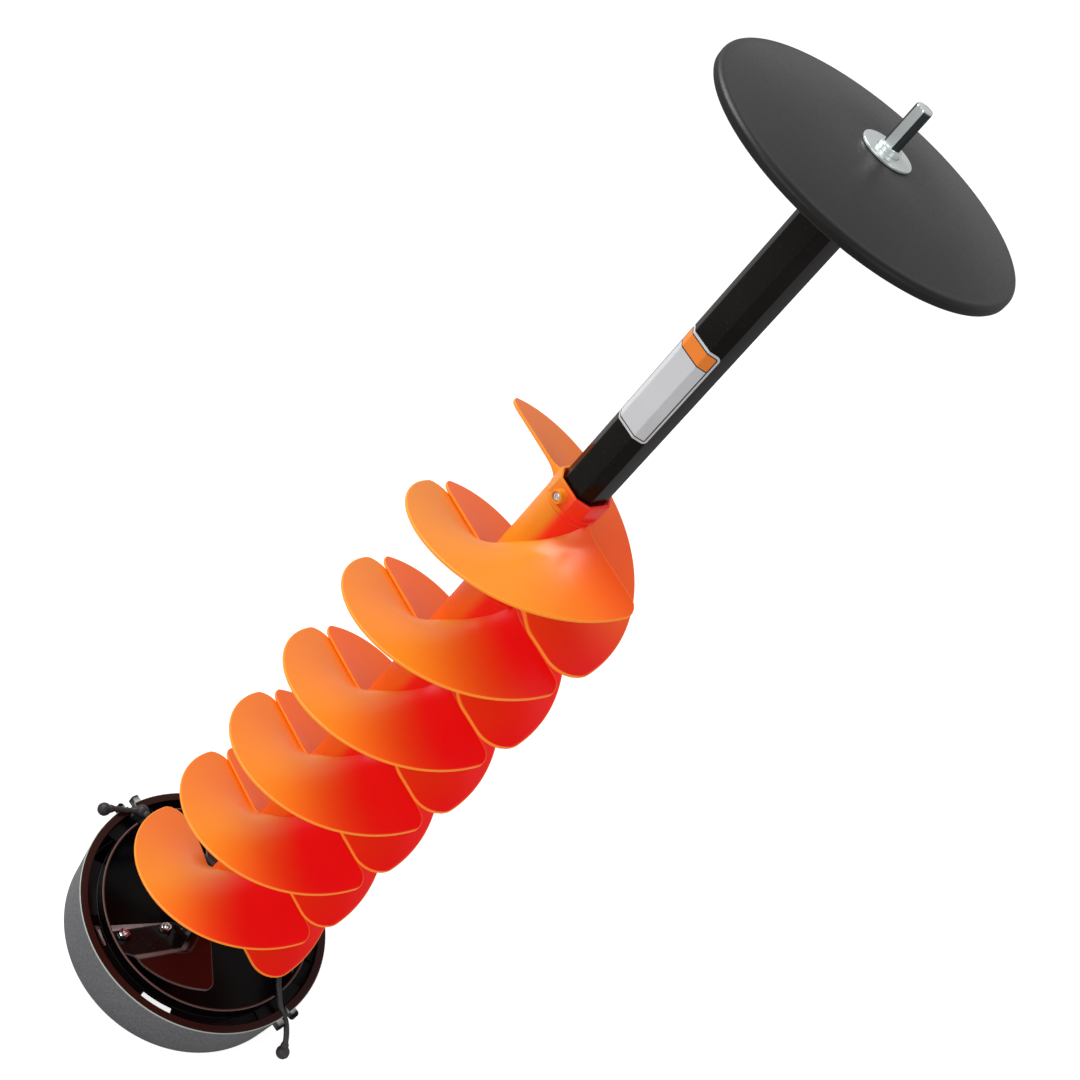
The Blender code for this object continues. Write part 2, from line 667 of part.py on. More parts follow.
def bolt_blank():
    """Hexagon bolt, head below the cutter and end proud of the nut, along the mount's Z."""
    top = NUT_BASE + BOLT_NUT_HEIGHT + BOLT_END
    shank = turned([(0.0, top), (BOLT_RADIUS - 0.0006, top), (BOLT_RADIUS, top - 0.0006),
                    (BOLT_RADIUS, HEAD_TOP - 0.001), (0.0, HEAD_TOP - 0.001)], 16)
    head = cylinder(BOLT_HEX / math.sqrt(3), HEAD_TOP - BOLT_HEAD_HEIGHT, HEAD_TOP, 6)
    boolean(head, as_cutter(shank, "bolt_shank"), "UNION")
    bpy.context.view_layer.update()
    return head


def nut_blank():
    nut = cylinder(BOLT_HEX / math.sqrt(3), NUT_BASE, NUT_BASE + BOLT_NUT_HEIGHT, 6)
    crown = nut.modifiers.new("crown", "BEVEL")
    crown.width = 0.0005
    crown.segments = 1
    crown.limit_method = "ANGLE"
    crown.angle_limit = math.radians(75)
    bore = cylinder(BOLT_RADIUS + GAP, NUT_BASE - 0.01, NUT_BASE + BOLT_NUT_HEIGHT + 0.01, 16)
    boolean(nut, as_cutter(bore, "nut_bore"))
    bpy.context.view_layer.update()
    return nut


def both_sides(blank, names, material):
    """One mesh used twice, the second time turned half round the auger."""
    mesh = evaluated_mesh(blank)
    mesh.transform(blank.matrix_world)
    smooth(mesh)
    bpy.data.objects.remove(blank, do_unlink=True)
    for k, name in enumerate(names):
        copy = bpy.data.objects.new(name, mesh)
        bpy.context.scene.collection.objects.link(copy)
        copy.rotation_euler.z = math.pi * k
        place(copy, name, material)


def cutting_head():
    head_hub()
    centre_point()
    holes = [bolt_hole(station, f"bolt_hole_{k + 1}") for k, station in enumerate(BOLT_STATIONS)]
    for blank, names, material in ((wing_blank(), ("wing_a", "wing_b"), BLACK_PAINT),
                                   (cutter_blank(), ("blade_a", "blade_b"), STEEL)):
        for hole in holes:
            boolean(blank, hole)
        bpy.context.view_layer.update()
        both_sides(blank, names, material)
    for k, station in enumerate(BOLT_STATIONS):
        for make, kind in ((bolt_blank, "bolt"), (nut_blank, "nut")):
            blank = make()
            mesh = evaluated_mesh(blank)
            mesh.transform(blank.matrix_world)
            mesh.transform(mount_frame() @ Matrix.Translation((station, BOLT_SETBACK, 0.0)))
            piece = bpy.data.objects.new(kind, mesh)
            bpy.context.scene.collection.objects.link(piece)
            bpy.data.objects.remove(blank, do_unlink=True)
            both_sides(piece, (f"blade_{kind}_{k + 1}", f"blade_{kind}_{k + 3}"), ZINC)


# Blade guard: a tapered cup with a floor, a channel under its rim, an inner ring and strap lugs

def blade_guard():
    slope = (GUARD_RIM_RADIUS - GUARD_BASE_RADIUS) / GUARD_HEIGHT
    web_foot = WEB_TOP - WEB_THICKNESS

    def skirt(height):
        return GUARD_BASE_RADIUS + slope * height

    profile = [(0.0, GUARD_FLOOR), (skirt(GUARD_FLOOR) - GUARD_WALL, GUARD_FLOOR),
               (skirt(web_foot) - GUARD_WALL, web_foot), (RING_INNER, web_foot),
               (RING_INNER, RING_TOP), (RING_RADIUS, RING_TOP), (RING_RADIUS, WEB_TOP),
               (CHANNEL_RADIUS, WEB_TOP), (CHANNEL_RADIUS, GUARD_HEIGHT),
               (skirt(GUARD_HEIGHT) - GUARD_EDGE, GUARD_HEIGHT),
               (skirt(GUARD_HEIGHT - GUARD_EDGE), GUARD_HEIGHT - GUARD_EDGE),
               (skirt(GUARD_EDGE), GUARD_EDGE), (skirt(0.0) - GUARD_EDGE, 0.0), (0.0, 0.0)]
    guard = turned(profile, 64)
    for k in range(2):
        for side, rounded in ((-1, False), (1, True)):
            lug = strap_lug(GUARD_TURN + 180 * k + side * LUG_SPREAD, rounded)
            boolean(guard, as_cutter(lug, f"strap_lug_{2 * k + (side + 3) // 2}"), "UNION")
    middles = [SLOT_START + 360 / SLOT_COUNT * k for k in range(SLOT_COUNT)]
    slot_radii = (RING_RADIUS + SLOT_MARGIN, CHANNEL_RADIUS - SLOT_MARGIN)
    slots = prism([sector(*slot_radii, middle, SLOT_ANGLE) for middle in middles],
                  web_foot - WEB_THICKNESS, WEB_TOP + WEB_THICKNESS)
    boolean(guard, as_cutter(slots, "guard_slots"))
    windows = prism([sector(WINDOW_INNER, WINDOW_OUTER, WINDOW_MIDDLE + 180 * k, WINDOW_ANGLE, 5)
                     for k in range(2)], -GUARD_FLOOR, 2 * GUARD_FLOOR)
    boolean(guard, as_cutter(windows, "guard_windows"))
    for k in range(2):
        turn = GUARD_TURN + 180 * k
        boolean(guard, as_cutter(rim_notch(turn), f"rim_notch_{k + 1}"))
        boolean(guard, as_cutter(ring_notch(turn + RING_NOTCH_SHIFT), f"ring_notch_{k + 1}"))
    smooth(guard.data)
    place(guard, "blade_guard", GREY_PLASTIC)


def strap_lug(turn, rounded):
    """Ear on the outside of the rim, square or with a round end, beside a strap notch."""
    top = GUARD_HEIGHT - LUG_DROP
    inner = GUARD_RIM_RADIUS - LUG_ROOT
    outer = GUARD_RIM_RADIUS + LUG_REACH
    if not rounded:
        outline = [(inner, -LUG_WIDTH / 2), (outer, -LUG_WIDTH / 2), (outer, LUG_WIDTH / 2),
                   (inner, LUG_WIDTH / 2)]
    else:
        centre = outer - LUG_WIDTH / 2
        arc = [math.radians(-90 + 30 * k) for k in range(7)]
        outline = [(inner, -LUG_WIDTH / 2)]
        outline += [(centre + LUG_WIDTH / 2 * math.cos(a), LUG_WIDTH / 2 * math.sin(a)) for a in arc]
        outline += [(inner, LUG_WIDTH / 2)]
    lug = prism([outline], top - LUG_HEIGHT, top)
    lug.data.transform(Matrix.Rotation(math.radians(turn), 4, "Z"))
    return lug


def rim_notch(turn):
    """U-shaped cutter that runs out through the rim: a cylinder along the radius and a box."""
    floor = GUARD_HEIGHT - NOTCH_DEPTH
    half = NOTCH_WIDTH / 2
    arc = [math.radians(180 + 22.5 * k) for k in range(9)]
    outline = [(half * math.cos(a), floor + half + half * math.sin(a)) for a in arc]
    outline += [(half, GUARD_HEIGHT + 0.01), (-half, GUARD_HEIGHT + 0.01)]
    notch = prism([outline], 0.0, 3 * RIM_WIDTH)
    notch.data.transform(Matrix.Rotation(math.radians(90), 4, "X"))
    notch.data.transform(Matrix.Rotation(math.radians(90), 4, "Z"))
    notch.data.transform(Matrix.Translation((CHANNEL_RADIUS - 0.0020, 0.0, 0.0)))
    notch.data.transform(Matrix.Rotation(math.radians(turn), 4, "Z"))
    return notch


def ring_notch(turn):
    """V-shaped cutter in the inner ring: a square bar laid on its edge."""
    side = 4 * RING_NOTCH_DEPTH
    bar = block((4 * RING_WALL, side, side), (0.0, 0.0, 0.0))
    bar.data.transform(Matrix.Rotation(math.radians(45), 4, "X"))
    height = RING_TOP - RING_NOTCH_DEPTH + side / math.sqrt(2)
    bar.data.transform(Matrix.Translation((RING_RADIUS - RING_WALL / 2, 0.0, height)))
    bar.data.transform(Matrix.Rotation(math.radians(turn), 4, "Z"))
    return bar


# Rubber strap: hooked in the left notch, led across behind the hub and out of the right notch

def polar(radius, degrees, height):
    angle = math.radians(degrees)
    return Vector((radius * math.cos(angle), radius * math.sin(angle), height))


def strap_route():
    wrap = HUB_RADIUS + STRAP_RADIUS + STRAP_HUB_CLEARANCE
    over = RING_TOP + STRAP_RADIUS + 0.0010
    cross = RING_TOP + STRAP_LIFT
    ring_middle = RING_RADIUS - RING_WALL / 2
    rim_middle = (CHANNEL_RADIUS + GUARD_RIM_RADIUS) / 2
    left = GUARD_TURN + 180
    right_ring = GUARD_TURN + RING_NOTCH_SHIFT
    return [
        polar(GUARD_RIM_RADIUS + 0.0106, left + 12.0, GUARD_HEIGHT + STRAP_RADIUS - 0.0020),
        polar(GUARD_RIM_RADIUS + 0.0040, left + 9.0, GUARD_HEIGHT + STRAP_RADIUS + 0.0006),
        polar(rim_middle, left + 5.2, GUARD_HEIGHT + STRAP_RADIUS + 0.0012),
        polar(RING_RADIUS + STRAP_BALL_RADIUS + 0.0005, left - 0.8, RING_TOP + 0.0010),
        polar(ring_middle - 0.0010, left - 0.6, over),
        polar(0.0850, left - 3.5, cross - 0.0010),
        polar(0.0450, left - 31.0, cross),
        polar(wrap, left - 76.0, cross),
        polar(wrap, left - 87.0, cross),
        polar(wrap, left - 98.0, cross),
        polar(0.0450, right_ring + 36.0, cross),
        polar(0.0850, right_ring + 7.5, cross - 0.0012),
        polar(ring_middle - 0.0030, right_ring + 0.8, RING_TOP + 0.0022),
        polar(ring_middle + 0.0020, right_ring - 0.4, RING_TOP - 0.0004),
        polar(CHANNEL_RADIUS - 0.0020, GUARD_TURN + 0.3, GUARD_HEIGHT - 0.0010),
        polar(GUARD_RIM_RADIUS - 0.0010, GUARD_TURN, GUARD_HEIGHT - 0.0045),
        polar(GUARD_RIM_RADIUS + 0.0070, GUARD_TURN - 0.9, GUARD_HEIGHT - 0.0074),
        polar(GUARD_RIM_RADIUS + 0.0170, GUARD_TURN - 3.0, GUARD_HEIGHT - 0.0130),
        polar(GUARD_RIM_RADIUS + 0.0246, GUARD_TURN - 5.2, GUARD_HEIGHT - 0.0200),
    ]


def smooth_route(points, steps):
    """Points on the Catmull-Rom curve through a route."""
    padded = [points[0]] + points + [points[-1]]
    route = []
    for a, b, c, d in zip(padded, padded[1:], padded[2:], padded[3:]):
        for k in range(steps):
            t = k / steps
            route.append(0.5 * (2 * b + (c - a) * t + (2 * a - 5 * b + 4 * c - d) * t ** 2
                                + (3 * b - a - 3 * c + d) * t ** 3))
    route.append(points[-1])
    return route


def guard_strap():
    points = strap_route()
    route = smooth_route(points, 2)
    curve = bpy.data.curves.new("strap", "CURVE")
    curve.dimensions = "3D"
    curve.bevel_depth = STRAP_RADIUS
    curve.bevel_resolution = 2
    curve.use_fill_caps = True
    spline = curve.splines.new("POLY")
    spline.points.add(len(route) - 1)
    for target, point in zip(spline.points, route):
        target.co = (*point, 1.0)
    cord = bpy.data.objects.new("strap", curve)
    bpy.context.scene.collection.objects.link(cord)
    bpy.context.view_layer.update()
    strap = frozen(cord)
    for k, centre in enumerate((points[0], points[3], points[-1])):
        bpy.ops.mesh.primitive_uv_sphere_add(segments=10, ring_count=6, radius=STRAP_BALL_RADIUS,
                                             location=centre)
        boolean(strap, as_cutter(bpy.context.object, f"strap_ball_{k + 1}"), "UNION")
    smooth(strap.data)
    place(strap, "guard_strap", RUBBER)


def main():
    flight_modules()
    drive_tube()
    lock_collar()
    collar_screw()
    float_disc()
    disc_washer()
    shank_adapter()
    cutting_head()
    blade_guard()
    guard_strap()


main()
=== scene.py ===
import bpy
import bmesh
import numpy as np
from math import acos, cos, pi, radians, sin, sqrt, tan
from mathutils import Matrix, Vector


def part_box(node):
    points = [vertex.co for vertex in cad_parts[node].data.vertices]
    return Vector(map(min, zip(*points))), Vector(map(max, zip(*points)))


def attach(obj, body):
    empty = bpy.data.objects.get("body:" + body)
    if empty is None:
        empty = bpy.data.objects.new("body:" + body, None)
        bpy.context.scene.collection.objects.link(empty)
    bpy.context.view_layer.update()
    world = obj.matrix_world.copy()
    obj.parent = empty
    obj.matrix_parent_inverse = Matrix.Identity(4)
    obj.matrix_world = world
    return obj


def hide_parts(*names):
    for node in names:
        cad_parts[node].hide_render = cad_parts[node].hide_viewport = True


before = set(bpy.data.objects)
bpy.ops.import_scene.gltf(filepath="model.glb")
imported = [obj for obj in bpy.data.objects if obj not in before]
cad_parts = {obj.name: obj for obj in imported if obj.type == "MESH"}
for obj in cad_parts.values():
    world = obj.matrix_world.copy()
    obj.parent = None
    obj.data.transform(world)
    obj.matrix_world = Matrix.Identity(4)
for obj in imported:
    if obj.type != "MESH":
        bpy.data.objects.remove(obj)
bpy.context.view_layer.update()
print("frame loaded:", len(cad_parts), "nodes")


# placing

def addObject(name, data):
    obj = bpy.data.objects.new(name, data)
    bpy.context.scene.collection.objects.link(obj)
    return obj


def standAt(place, aim):
    # stands at place and looks along its own -Z at aim
    place = Vector(place)
    return Matrix.Translation(place) @ (Vector(aim) - place).to_track_quat("-Z", "Y").to_matrix().to_4x4()


def axisTurn(degrees, axis="Z"):
    return Matrix.Rotation(radians(degrees), 4, axis)


# camera: where it stands, what it looks at and how far it is rolled

camera = dict(place=(0.42844, -0.87734, 1.33307), aim=(-0.1054, 0.21849, 0.45891), roll=41.979,
              lens=54.05, sensor=36.0)


def makeCamera():
    data = bpy.data.cameras.new("camera")
    data.lens = camera["lens"]
    data.sensor_width = camera["sensor"]
    data.clip_end = 100
    obj = addObject("camera", data)
    obj.matrix_world = standAt(camera["place"], camera["aim"]) @ axisTurn(camera["roll"])
    bpy.context.scene.camera = obj


makeCamera()
print("camera placed")


# numpy helpers

def linear(r, g, b):
    # sRGB numbers from 0 to 255 as a linear colour
    c = np.array([r, g, b]) / 255
    c = np.where(c <= 0.04045, c / 12.92, ((c + 0.055) / 1.055) ** 2.4)
    return tuple(float(v) for v in c) + (1.0,)


def smoothStep(x):
    x = np.clip(x, 0, 1)
    return x * x * (3 - 2 * x)


def polar(r, a, z):
    # points at radius r, angle a and height z, spread over each other as arrays
    return np.stack(np.broadcast_arrays(r * np.cos(a), r * np.sin(a), z), -1)


def roundTurn(count):
    return np.arange(count) * 2 * pi / count


def edgeRows(count, near, scale):
    # parameters from 0 to 1 that crowd towards both ends, where the edge is rounded
    ends = np.array(near) * scale
    return np.concatenate([ends, np.linspace(ends[-1], 1 - ends[-1], count)[1:-1], 1 - ends[::-1]])


def gridFaces(nu, nv, closeU=False, closeV=False, flip=False, start=0):
    # quads of an nu by nv grid stored row by row, wrapped where a side closes on itself
    i = np.arange(nu if closeU else nu - 1)[:, None]
    j = np.arange(nv if closeV else nv - 1)
    i2, j2 = (i + 1) % nu, (j + 1) % nv
    quads = np.stack([i * nv + j, i2 * nv + j, i2 * nv + j2, i * nv + j2], -1).reshape(-1, 4)
    return (quads[:, ::-1] if flip else quads) + start


def addMask(data, key, values):
    layer = data.attributes.new(key, "FLOAT", "POINT")
    layer.data.foreach_set("value", np.ascontiguousarray(values, dtype=np.float32).ravel())


def cornersOf(data):
    co = np.empty(len(data.vertices) * 3, np.float32)
    data.vertices.foreach_get("co", co)
    return co.reshape(-1, 3)


def meshFrom(name, points, quads, masks=None, weld=True, angle=35):
    # a mesh from arrays of corners and quads; masks are one number per corner
    data = bpy.data.meshes.new(name)
    points = np.ascontiguousarray(points, dtype=np.float32).reshape(-1, 3)
    data.vertices.add(len(points))
    data.vertices.foreach_set("co", points.ravel())
    data.loops.add(quads.size)
    data.loops.foreach_set("vertex_index", np.ascontiguousarray(quads, dtype=np.int32).ravel())
    data.polygons.add(len(quads))
    data.polygons.foreach_set("loop_start", np.arange(0, quads.size, 4, dtype=np.int32))
    data.update(calc_edges=True)
    for key, values in (masks or {}).items():
        addMask(data, key, values)
    if weld:
        work = bmesh.new()
        work.from_mesh(data)
        bmesh.ops.remove_doubles(work, verts=work.verts, dist=2e-6)
        bmesh.ops.dissolve_degenerate(work, edges=work.edges, dist=1e-7)
        bmesh.ops.recalc_face_normals(work, faces=work.faces)
        work.to_mesh(data)
        work.free()
    data.shade_smooth()
    data.set_sharp_from_angle(angle=radians(angle))
    data.update()
    return addObject(name, data)


def gridMesh(name, points, masks=None, angle=35, closeU=False, closeV=True, flip=False):
    return meshFrom(name, points, gridFaces(*points.shape[:2], closeU, closeV, flip), masks, angle=angle)


def sheetFrom(name, top, bottom, masks, weld=True, angle=50):
    # a thin solid from two grids of points; a mask is one grid, or a pair for its two faces
    nu, nv = top.shape[:2]
    quads = np.concatenate([gridFaces(nu, nv, flip=True), gridFaces(nu, nv, start=nu * nv)])
    masks = {key: np.broadcast_to(values, (2, nu, nv)) for key, values in masks.items()}
    return meshFrom(name, np.stack([top, bottom]), quads, masks, weld, angle)


def roundCorners(profile, radii, steps=4):
    # closed outline with each corner swapped for a parabola tangent to both sides
    corners = np.array(profile, float)
    out = []
    for before, p, after, radius in zip(np.roll(corners, 1, 0), corners, np.roll(corners, -1, 0), radii):
        if radius <= 0:
            out.append(p)
            continue
        a, b = before - p, after - p
        la, lb = np.linalg.norm(a), np.linalg.norm(b)
        a, b = a / la, b / lb
        half = acos(max(-1, min(1, float(a @ b)))) / 2
        cut = min(radius / tan(half), 0.45 * la, 0.45 * lb)
        t = np.linspace(0, 1, steps + 1)[:, None]
        out += list((1 - t) ** 2 * (p + a * cut) + 2 * t * (1 - t) * p + t ** 2 * (p + b * cut))
    return np.array(out)


def bandOutline(inner, outer, low, high):
    return [(inner, low), (outer, low), (outer, high), (inner, high)]


def revolve(name, outline, steps, masks=None, closed=True, flip=False):
    # outline (radius, height) turned about Z; it closes on itself, or starts and ends on the axis
    r, z = np.asarray(outline, float).T
    return gridMesh(name, polar(r, roundTurn(steps)[:, None], z), masks, closeU=True, closeV=closed, flip=flip)


def sweepTube(name, centre, radius, sides):
    # round tube along points: each ring lies across the path's direction, carried on without twist
    along = np.gradient(centre, axis=0)
    along /= np.linalg.norm(along, axis=1)[:, None]
    normal = np.cross(along[0], (0.3, 0.2, 0.93))
    a = roundTurn(sides)[:, None]
    rings = [centre[:1].repeat(sides, 0)]
    for point, way, size in zip(centre, along, np.broadcast_to(radius, len(centre))):
        normal = normal - way * (normal @ way)
        normal /= np.linalg.norm(normal)
        rings.append(point + size * (np.cos(a) * normal + np.sin(a) * np.cross(way, normal)))
    rings.append(centre[-1:].repeat(sides, 0))
    return gridMesh(name, np.stack(rings), angle=50)


# shader helpers: a value is a number, a colour in sRGB from 0 to 255, or another node's output

class Nodes:
    def __init__(self, tree):
        self.tree = tree

    def feed(self, value, socket):
        if isinstance(value, (int, float, tuple)):
            socket.default_value = value
        else:
            self.tree.links.new(value, socket)

    def make(self, kind, inputs={}, **settings):
        node = self.tree.nodes.new("ShaderNode" + kind)
        for key, value in settings.items():
            setattr(node, key, value)
        for key, value in inputs.items():
            self.feed(value, node.inputs[key])
        return node.outputs

    def math(self, operation, a, b=0.0, clamp=False):
        return self.make("Math", {0: a, 1: b}, operation=operation, use_clamp=clamp)[0]

    def times(self, a, b, clamp=False):
        return self.math("MULTIPLY", a, b, clamp)

    def mix(self, factor, a, b):
        a, b = (linear(*v) if isinstance(v, tuple) and len(v) == 3 else v for v in (a, b))
        return self.make("Mix", {0: factor, 6: a, 7: b}, data_type="RGBA")[2]

    def noise(self, vector, scale, detail):
        return self.make("TexNoise", {"Vector": vector, "Scale": scale, "Detail": detail})["Fac"]

    def mask(self, name):
        return self.make("Attribute", attribute_name=name)["Fac"]

    def spread(self, value, low, high):
        return self.make("MapRange", {"Value": value, "To Min": low, "To Max": high})["Result"]

    def bump(self, height, strength, distance):
        return self.make("Bump", {"Height": height, "Strength": strength, "Distance": distance})["Normal"]

    def effect(self, key, sizes):
        # a shared group on the object's own coordinates
        return self.make("Group", {"Vector": self.make("TexCoord")["Object"], **sizes}, node_tree=effects[key])

    def skin(self, ripple, cloud):
        return self.effect("skin", {"Ripple size": ripple, "Cloud size": cloud})


# effects that the materials share

def newGroup(build, sizes, *results):
    # a group whose inputs are Vector and the sizes; build returns its outputs in the order of results
    tree = bpy.data.node_groups.new(build.__name__, "ShaderNodeTree")
    n, addSocket = Nodes(tree), tree.interface.new_socket
    addSocket(name="Vector", in_out="INPUT", socket_type="NodeSocketVector")
    for label, value in sizes.items():
        addSocket(name=label, in_out="INPUT", socket_type="NodeSocketFloat").default_value = value
    for label in results:
        addSocket(name=label, in_out="OUTPUT", socket_type="NodeSocketFloat")
    given, out = tree.nodes.new("NodeGroupInput").outputs, tree.nodes.new("NodeGroupOutput").inputs
    for label, value in zip(results, build(n, given["Vector"], *(given[label] for label in sizes))):
        n.feed(value, out[label])
    return tree


def mouldSkin(n, vector, ripple, cloud):
    # moulded or painted skin: a slow cloudiness and a fine ripple, from two noises
    return [n.noise(vector, cloud, 4.0), n.noise(vector, ripple, 2.0)]


def leatherGrain(n, vector, size):
    # pebbled mould texture: the smooth distance in a cell pattern, broken up by a noise
    cells = n.make("TexVoronoi", {"Vector": vector, "Scale": size}, feature="SMOOTH_F1")["Distance"]
    return [n.math("ADD", cells, n.times(n.noise(vector, n.times(size, 2.3), 3.0), 0.6))]


def fineDust(n, vector, amount):
    # specks and smears of dust: a high noise cut at a level, over a low one
    specks = n.times(n.math("SUBTRACT", n.noise(vector, 420.0, 2.0), 0.62), 7.0, True)
    smears = n.times(n.math("SUBTRACT", n.noise(vector, 9.0, 5.0), 0.42), 2.5, True)
    return [n.times(n.math("ADD", specks, smears), amount, True)]


def toolMarks(n, vector, pitch):
    # turning rings along Z: a stretched noise that changes fast along Z and little around it
    squashed = n.make("Mapping", {"Vector": vector, "Scale": (0.04, 0.04, 1.0)})["Vector"]
    return [n.noise(squashed, pitch, 3.0)]


effects = dict(skin=newGroup(mouldSkin, {"Ripple size": 900.0, "Cloud size": 14.0}, "Cloud", "Ripple"),
               grain=newGroup(leatherGrain, {"Size": 700.0}, "Height"),
               dust=newGroup(fineDust, {"Amount": 0.1}, "Mask"),
               marks=newGroup(toolMarks, {"Pitch": 2200.0}, "Height"))


# materials, each with the numbers a user would change in a dictionary

# body is the plastic's orange; deep is the colour of painted red shade, rim of a painted edge highlight; the
# glow colours, with their strength, are a painted glow through emission
orangeLook = dict(body=(218, 137, 24), deep=(232, 12, 18), rim=(250, 148, 18), paintedGlow=(255, 24, 20),
                  paintedRimGlow=(1.4, 0.5, 0.05, 1), paintedGlowStrength=0.13, roughness=(0.26, 0.36), subsurface=0.08)
# fan: a painted reflection of the orange flights on the wings' fan; edge: a painted highlight on their rim and
# bend
paintLook = dict(dust=(120, 116, 114), fan=(56, 17, 13), edge=(150, 128, 124), roughness=(0.1, 0.2))
# lip: the colour of painted shade on the disc's folded outer lip
satinLook = dict(low=(34, 32, 32), high=(50, 48, 48), dust=(95, 93, 92), lip=(10, 9, 10), roughness=(0.3, 0.46))
# rim and ring: colours of painted highlights on the rim's top edge and on the heads
guardLook = dict(low=(55, 55, 58), high=(110, 110, 113), inner=(9, 5, 5), ring=(98, 46, 39),
                 dust=(150, 150, 150), rim=(176, 188, 180))
rubberLook = dict(low=(20, 19, 20), high=(42, 41, 43), dust=(125, 124, 122), roughness=(0.42, 0.6))
stickerLook = dict(low=(196, 198, 202), high=(214, 215, 218), band=(244, 132, 34), line=(12, 12, 13),
                   margin=0.23, lineHalf=0.045, bandFoot=0.835, footHalf=0.005)
# arc: the colour of a painted dark reflection on the shank's round parts
steelLook = dict(arc=(62, 70, 74))


def newMaterial(name, build, *rest):
    # build returns what the shader's inputs are fed with
    material = bpy.data.materials.new(name)
    material.use_nodes = True
    n = Nodes(material.node_tree)
    for label, value in build(n, *rest).items():
        n.feed(value, n.tree.nodes["Principled BSDF"].inputs[label])
    return material


def orangePlastic(n):
    # orange, with painted red shade where the shade mask says; a painted red glow through emission, stronger at
    # the rim; a painted highlight along the rim
    look, skin = orangeLook, n.skin(650.0, 11.0)
    drift = n.times(n.math("SUBTRACT", skin["Cloud"], 0.5), 0.125)
    moulded = n.mix(n.math("ADD", n.mask("paintedShade"), drift, True), look["body"], look["deep"])
    return {"Base Color": n.mix(n.times(n.mask("rim"), 0.8), moulded, look["rim"]),
            "Roughness": n.spread(skin["Cloud"], *look["roughness"]),
            "Normal": n.bump(skin["Ripple"], 0.06, 0.0003), "Specular IOR Level": 0.4,
            "Subsurface Weight": look["subsurface"], "Subsurface Radius": (1.0, 0.12, 0.02),
            "Subsurface Scale": 0.004, "Emission Color": n.mix(n.mask("rim"), look["paintedGlow"], look["paintedRimGlow"]),
            "Emission Strength": look["paintedGlowStrength"]}


def blackPaint(n, low, high, specular):
    # gloss paint; on the wings, a painted reflection of the orange flights on the fan and a painted highlight on
    # the bend and the rim; these masks are zero on other pieces
    look, skin = paintLook, n.skin(520.0, 20.0)
    colour = n.mix(n.effect("dust", {"Amount": 0.05})["Mask"], n.mix(skin["Cloud"], low, high), look["dust"])
    colour = n.mix(n.mask("fan"), colour, look["fan"])
    paintedHighlight = n.math("MAXIMUM", n.times(n.mask("rim"), 0.6), n.mask("paintedBendHighlight"))
    return {"Base Color": n.mix(paintedHighlight, colour, look["edge"]),
            "Roughness": n.spread(skin["Cloud"], *look["roughness"]),
            "Normal": n.bump(skin["Ripple"], 0.1, 0.0002), "Specular IOR Level": specular,
            "Coat Weight": 0.12, "Coat Roughness": 0.06}


def blackSatin(n):
    look, grain = satinLook, n.effect("grain", {"Size": 900.0})["Height"]
    colour = n.mix(n.skin(300.0, 15.0)["Cloud"], look["low"], look["high"])
    colour = n.mix(n.effect("dust", {"Amount": 0.06})["Mask"], colour, look["dust"])
    return {"Base Color": n.mix(n.times(n.mask("lip"), 0.8), colour, look["lip"]),
            "Roughness": n.spread(grain, *look["roughness"]),
            "Normal": n.bump(grain, 0.2, 0.0001), "Specular IOR Level": 0.3}


def greyGuard(n):
    # grained dark grey where the outside mask is 1, smooth brown-black inside, a painted highlight as a pale
    # line on the rim and as lighter brown on the heads of the rim and the inner ring
    look, grain, outside = guardLook, n.effect("grain", {"Size": 520.0})["Height"], n.mask("outside")
    inner = n.mix(n.mask("ring"), look["inner"], look["ring"])
    colour = n.mix(outside, inner, n.mix(grain, look["low"], look["high"]))
    colour = n.mix(n.times(n.effect("dust", {"Amount": 0.12})["Mask"], outside), colour, look["dust"])
    return {"Base Color": n.mix(n.mask("rim"), colour, look["rim"]),
            "Specular IOR Level": n.math("ADD", n.times(outside, 0.32), 0.12),
            "Roughness": n.math("ADD", n.times(outside, 0.22), 0.24),
            "Normal": n.bump(n.times(grain, outside), 0.55, 0.0004)}


def mattRubber(n):
    look, skin = rubberLook, n.skin(1100.0, 60.0)
    colour = n.mix(skin["Cloud"], look["low"], look["high"])
    return {"Base Color": n.mix(n.effect("dust", {"Amount": 0.25})["Mask"], colour, look["dust"]),
            "Roughness": n.spread(skin["Cloud"], *look["roughness"]),
            "Normal": n.bump(skin["Ripple"], 0.25, 0.0002)}


def platedSteel(n, low, high, roughness, pitch, metallic):
    # the arc mask darkens the shank's round parts between its flats: a painted dark reflection
    skin, marks = n.skin(900.0, 45.0), n.effect("marks", {"Pitch": pitch})["Height"]
    return {"Base Color": n.mix(n.mask("arc"), n.mix(skin["Cloud"], low, high), steelLook["arc"]),
            "Metallic": metallic, "Roughness": n.spread(skin["Cloud"], *roughness),
            "Normal": n.bump(marks, 0.12, 0.0001)}


def stickerFace(n):
    # plain pale plate, a dark line 2.3 mm inside its edge and a coloured head band inside the line;
    # the border mask counts in centimetres, the height mask from 0 to 1
    look, skin, border, height = stickerLook, n.skin(700.0, 30.0), n.mask("border"), n.mask("height")
    inside = n.math("GREATER_THAN", border, look["margin"])
    band = n.times(n.math("GREATER_THAN", height, look["bandFoot"]), inside)
    offLine = n.math("ABSOLUTE", n.math("SUBTRACT", border, look["margin"]))
    offFoot = n.math("ABSOLUTE", n.math("SUBTRACT", height, look["bandFoot"]))
    foot = n.times(n.math("LESS_THAN", offFoot, look["footHalf"]), inside)
    line = n.math("MAXIMUM", n.math("LESS_THAN", offLine, look["lineHalf"]), foot)
    banded = n.mix(band, n.mix(skin["Cloud"], look["low"], look["high"]), look["band"])
    return {"Base Color": n.mix(line, banded, look["line"]), "Roughness": 0.35,
            "Normal": n.bump(skin["Ripple"], 0.05, 0.0001)}


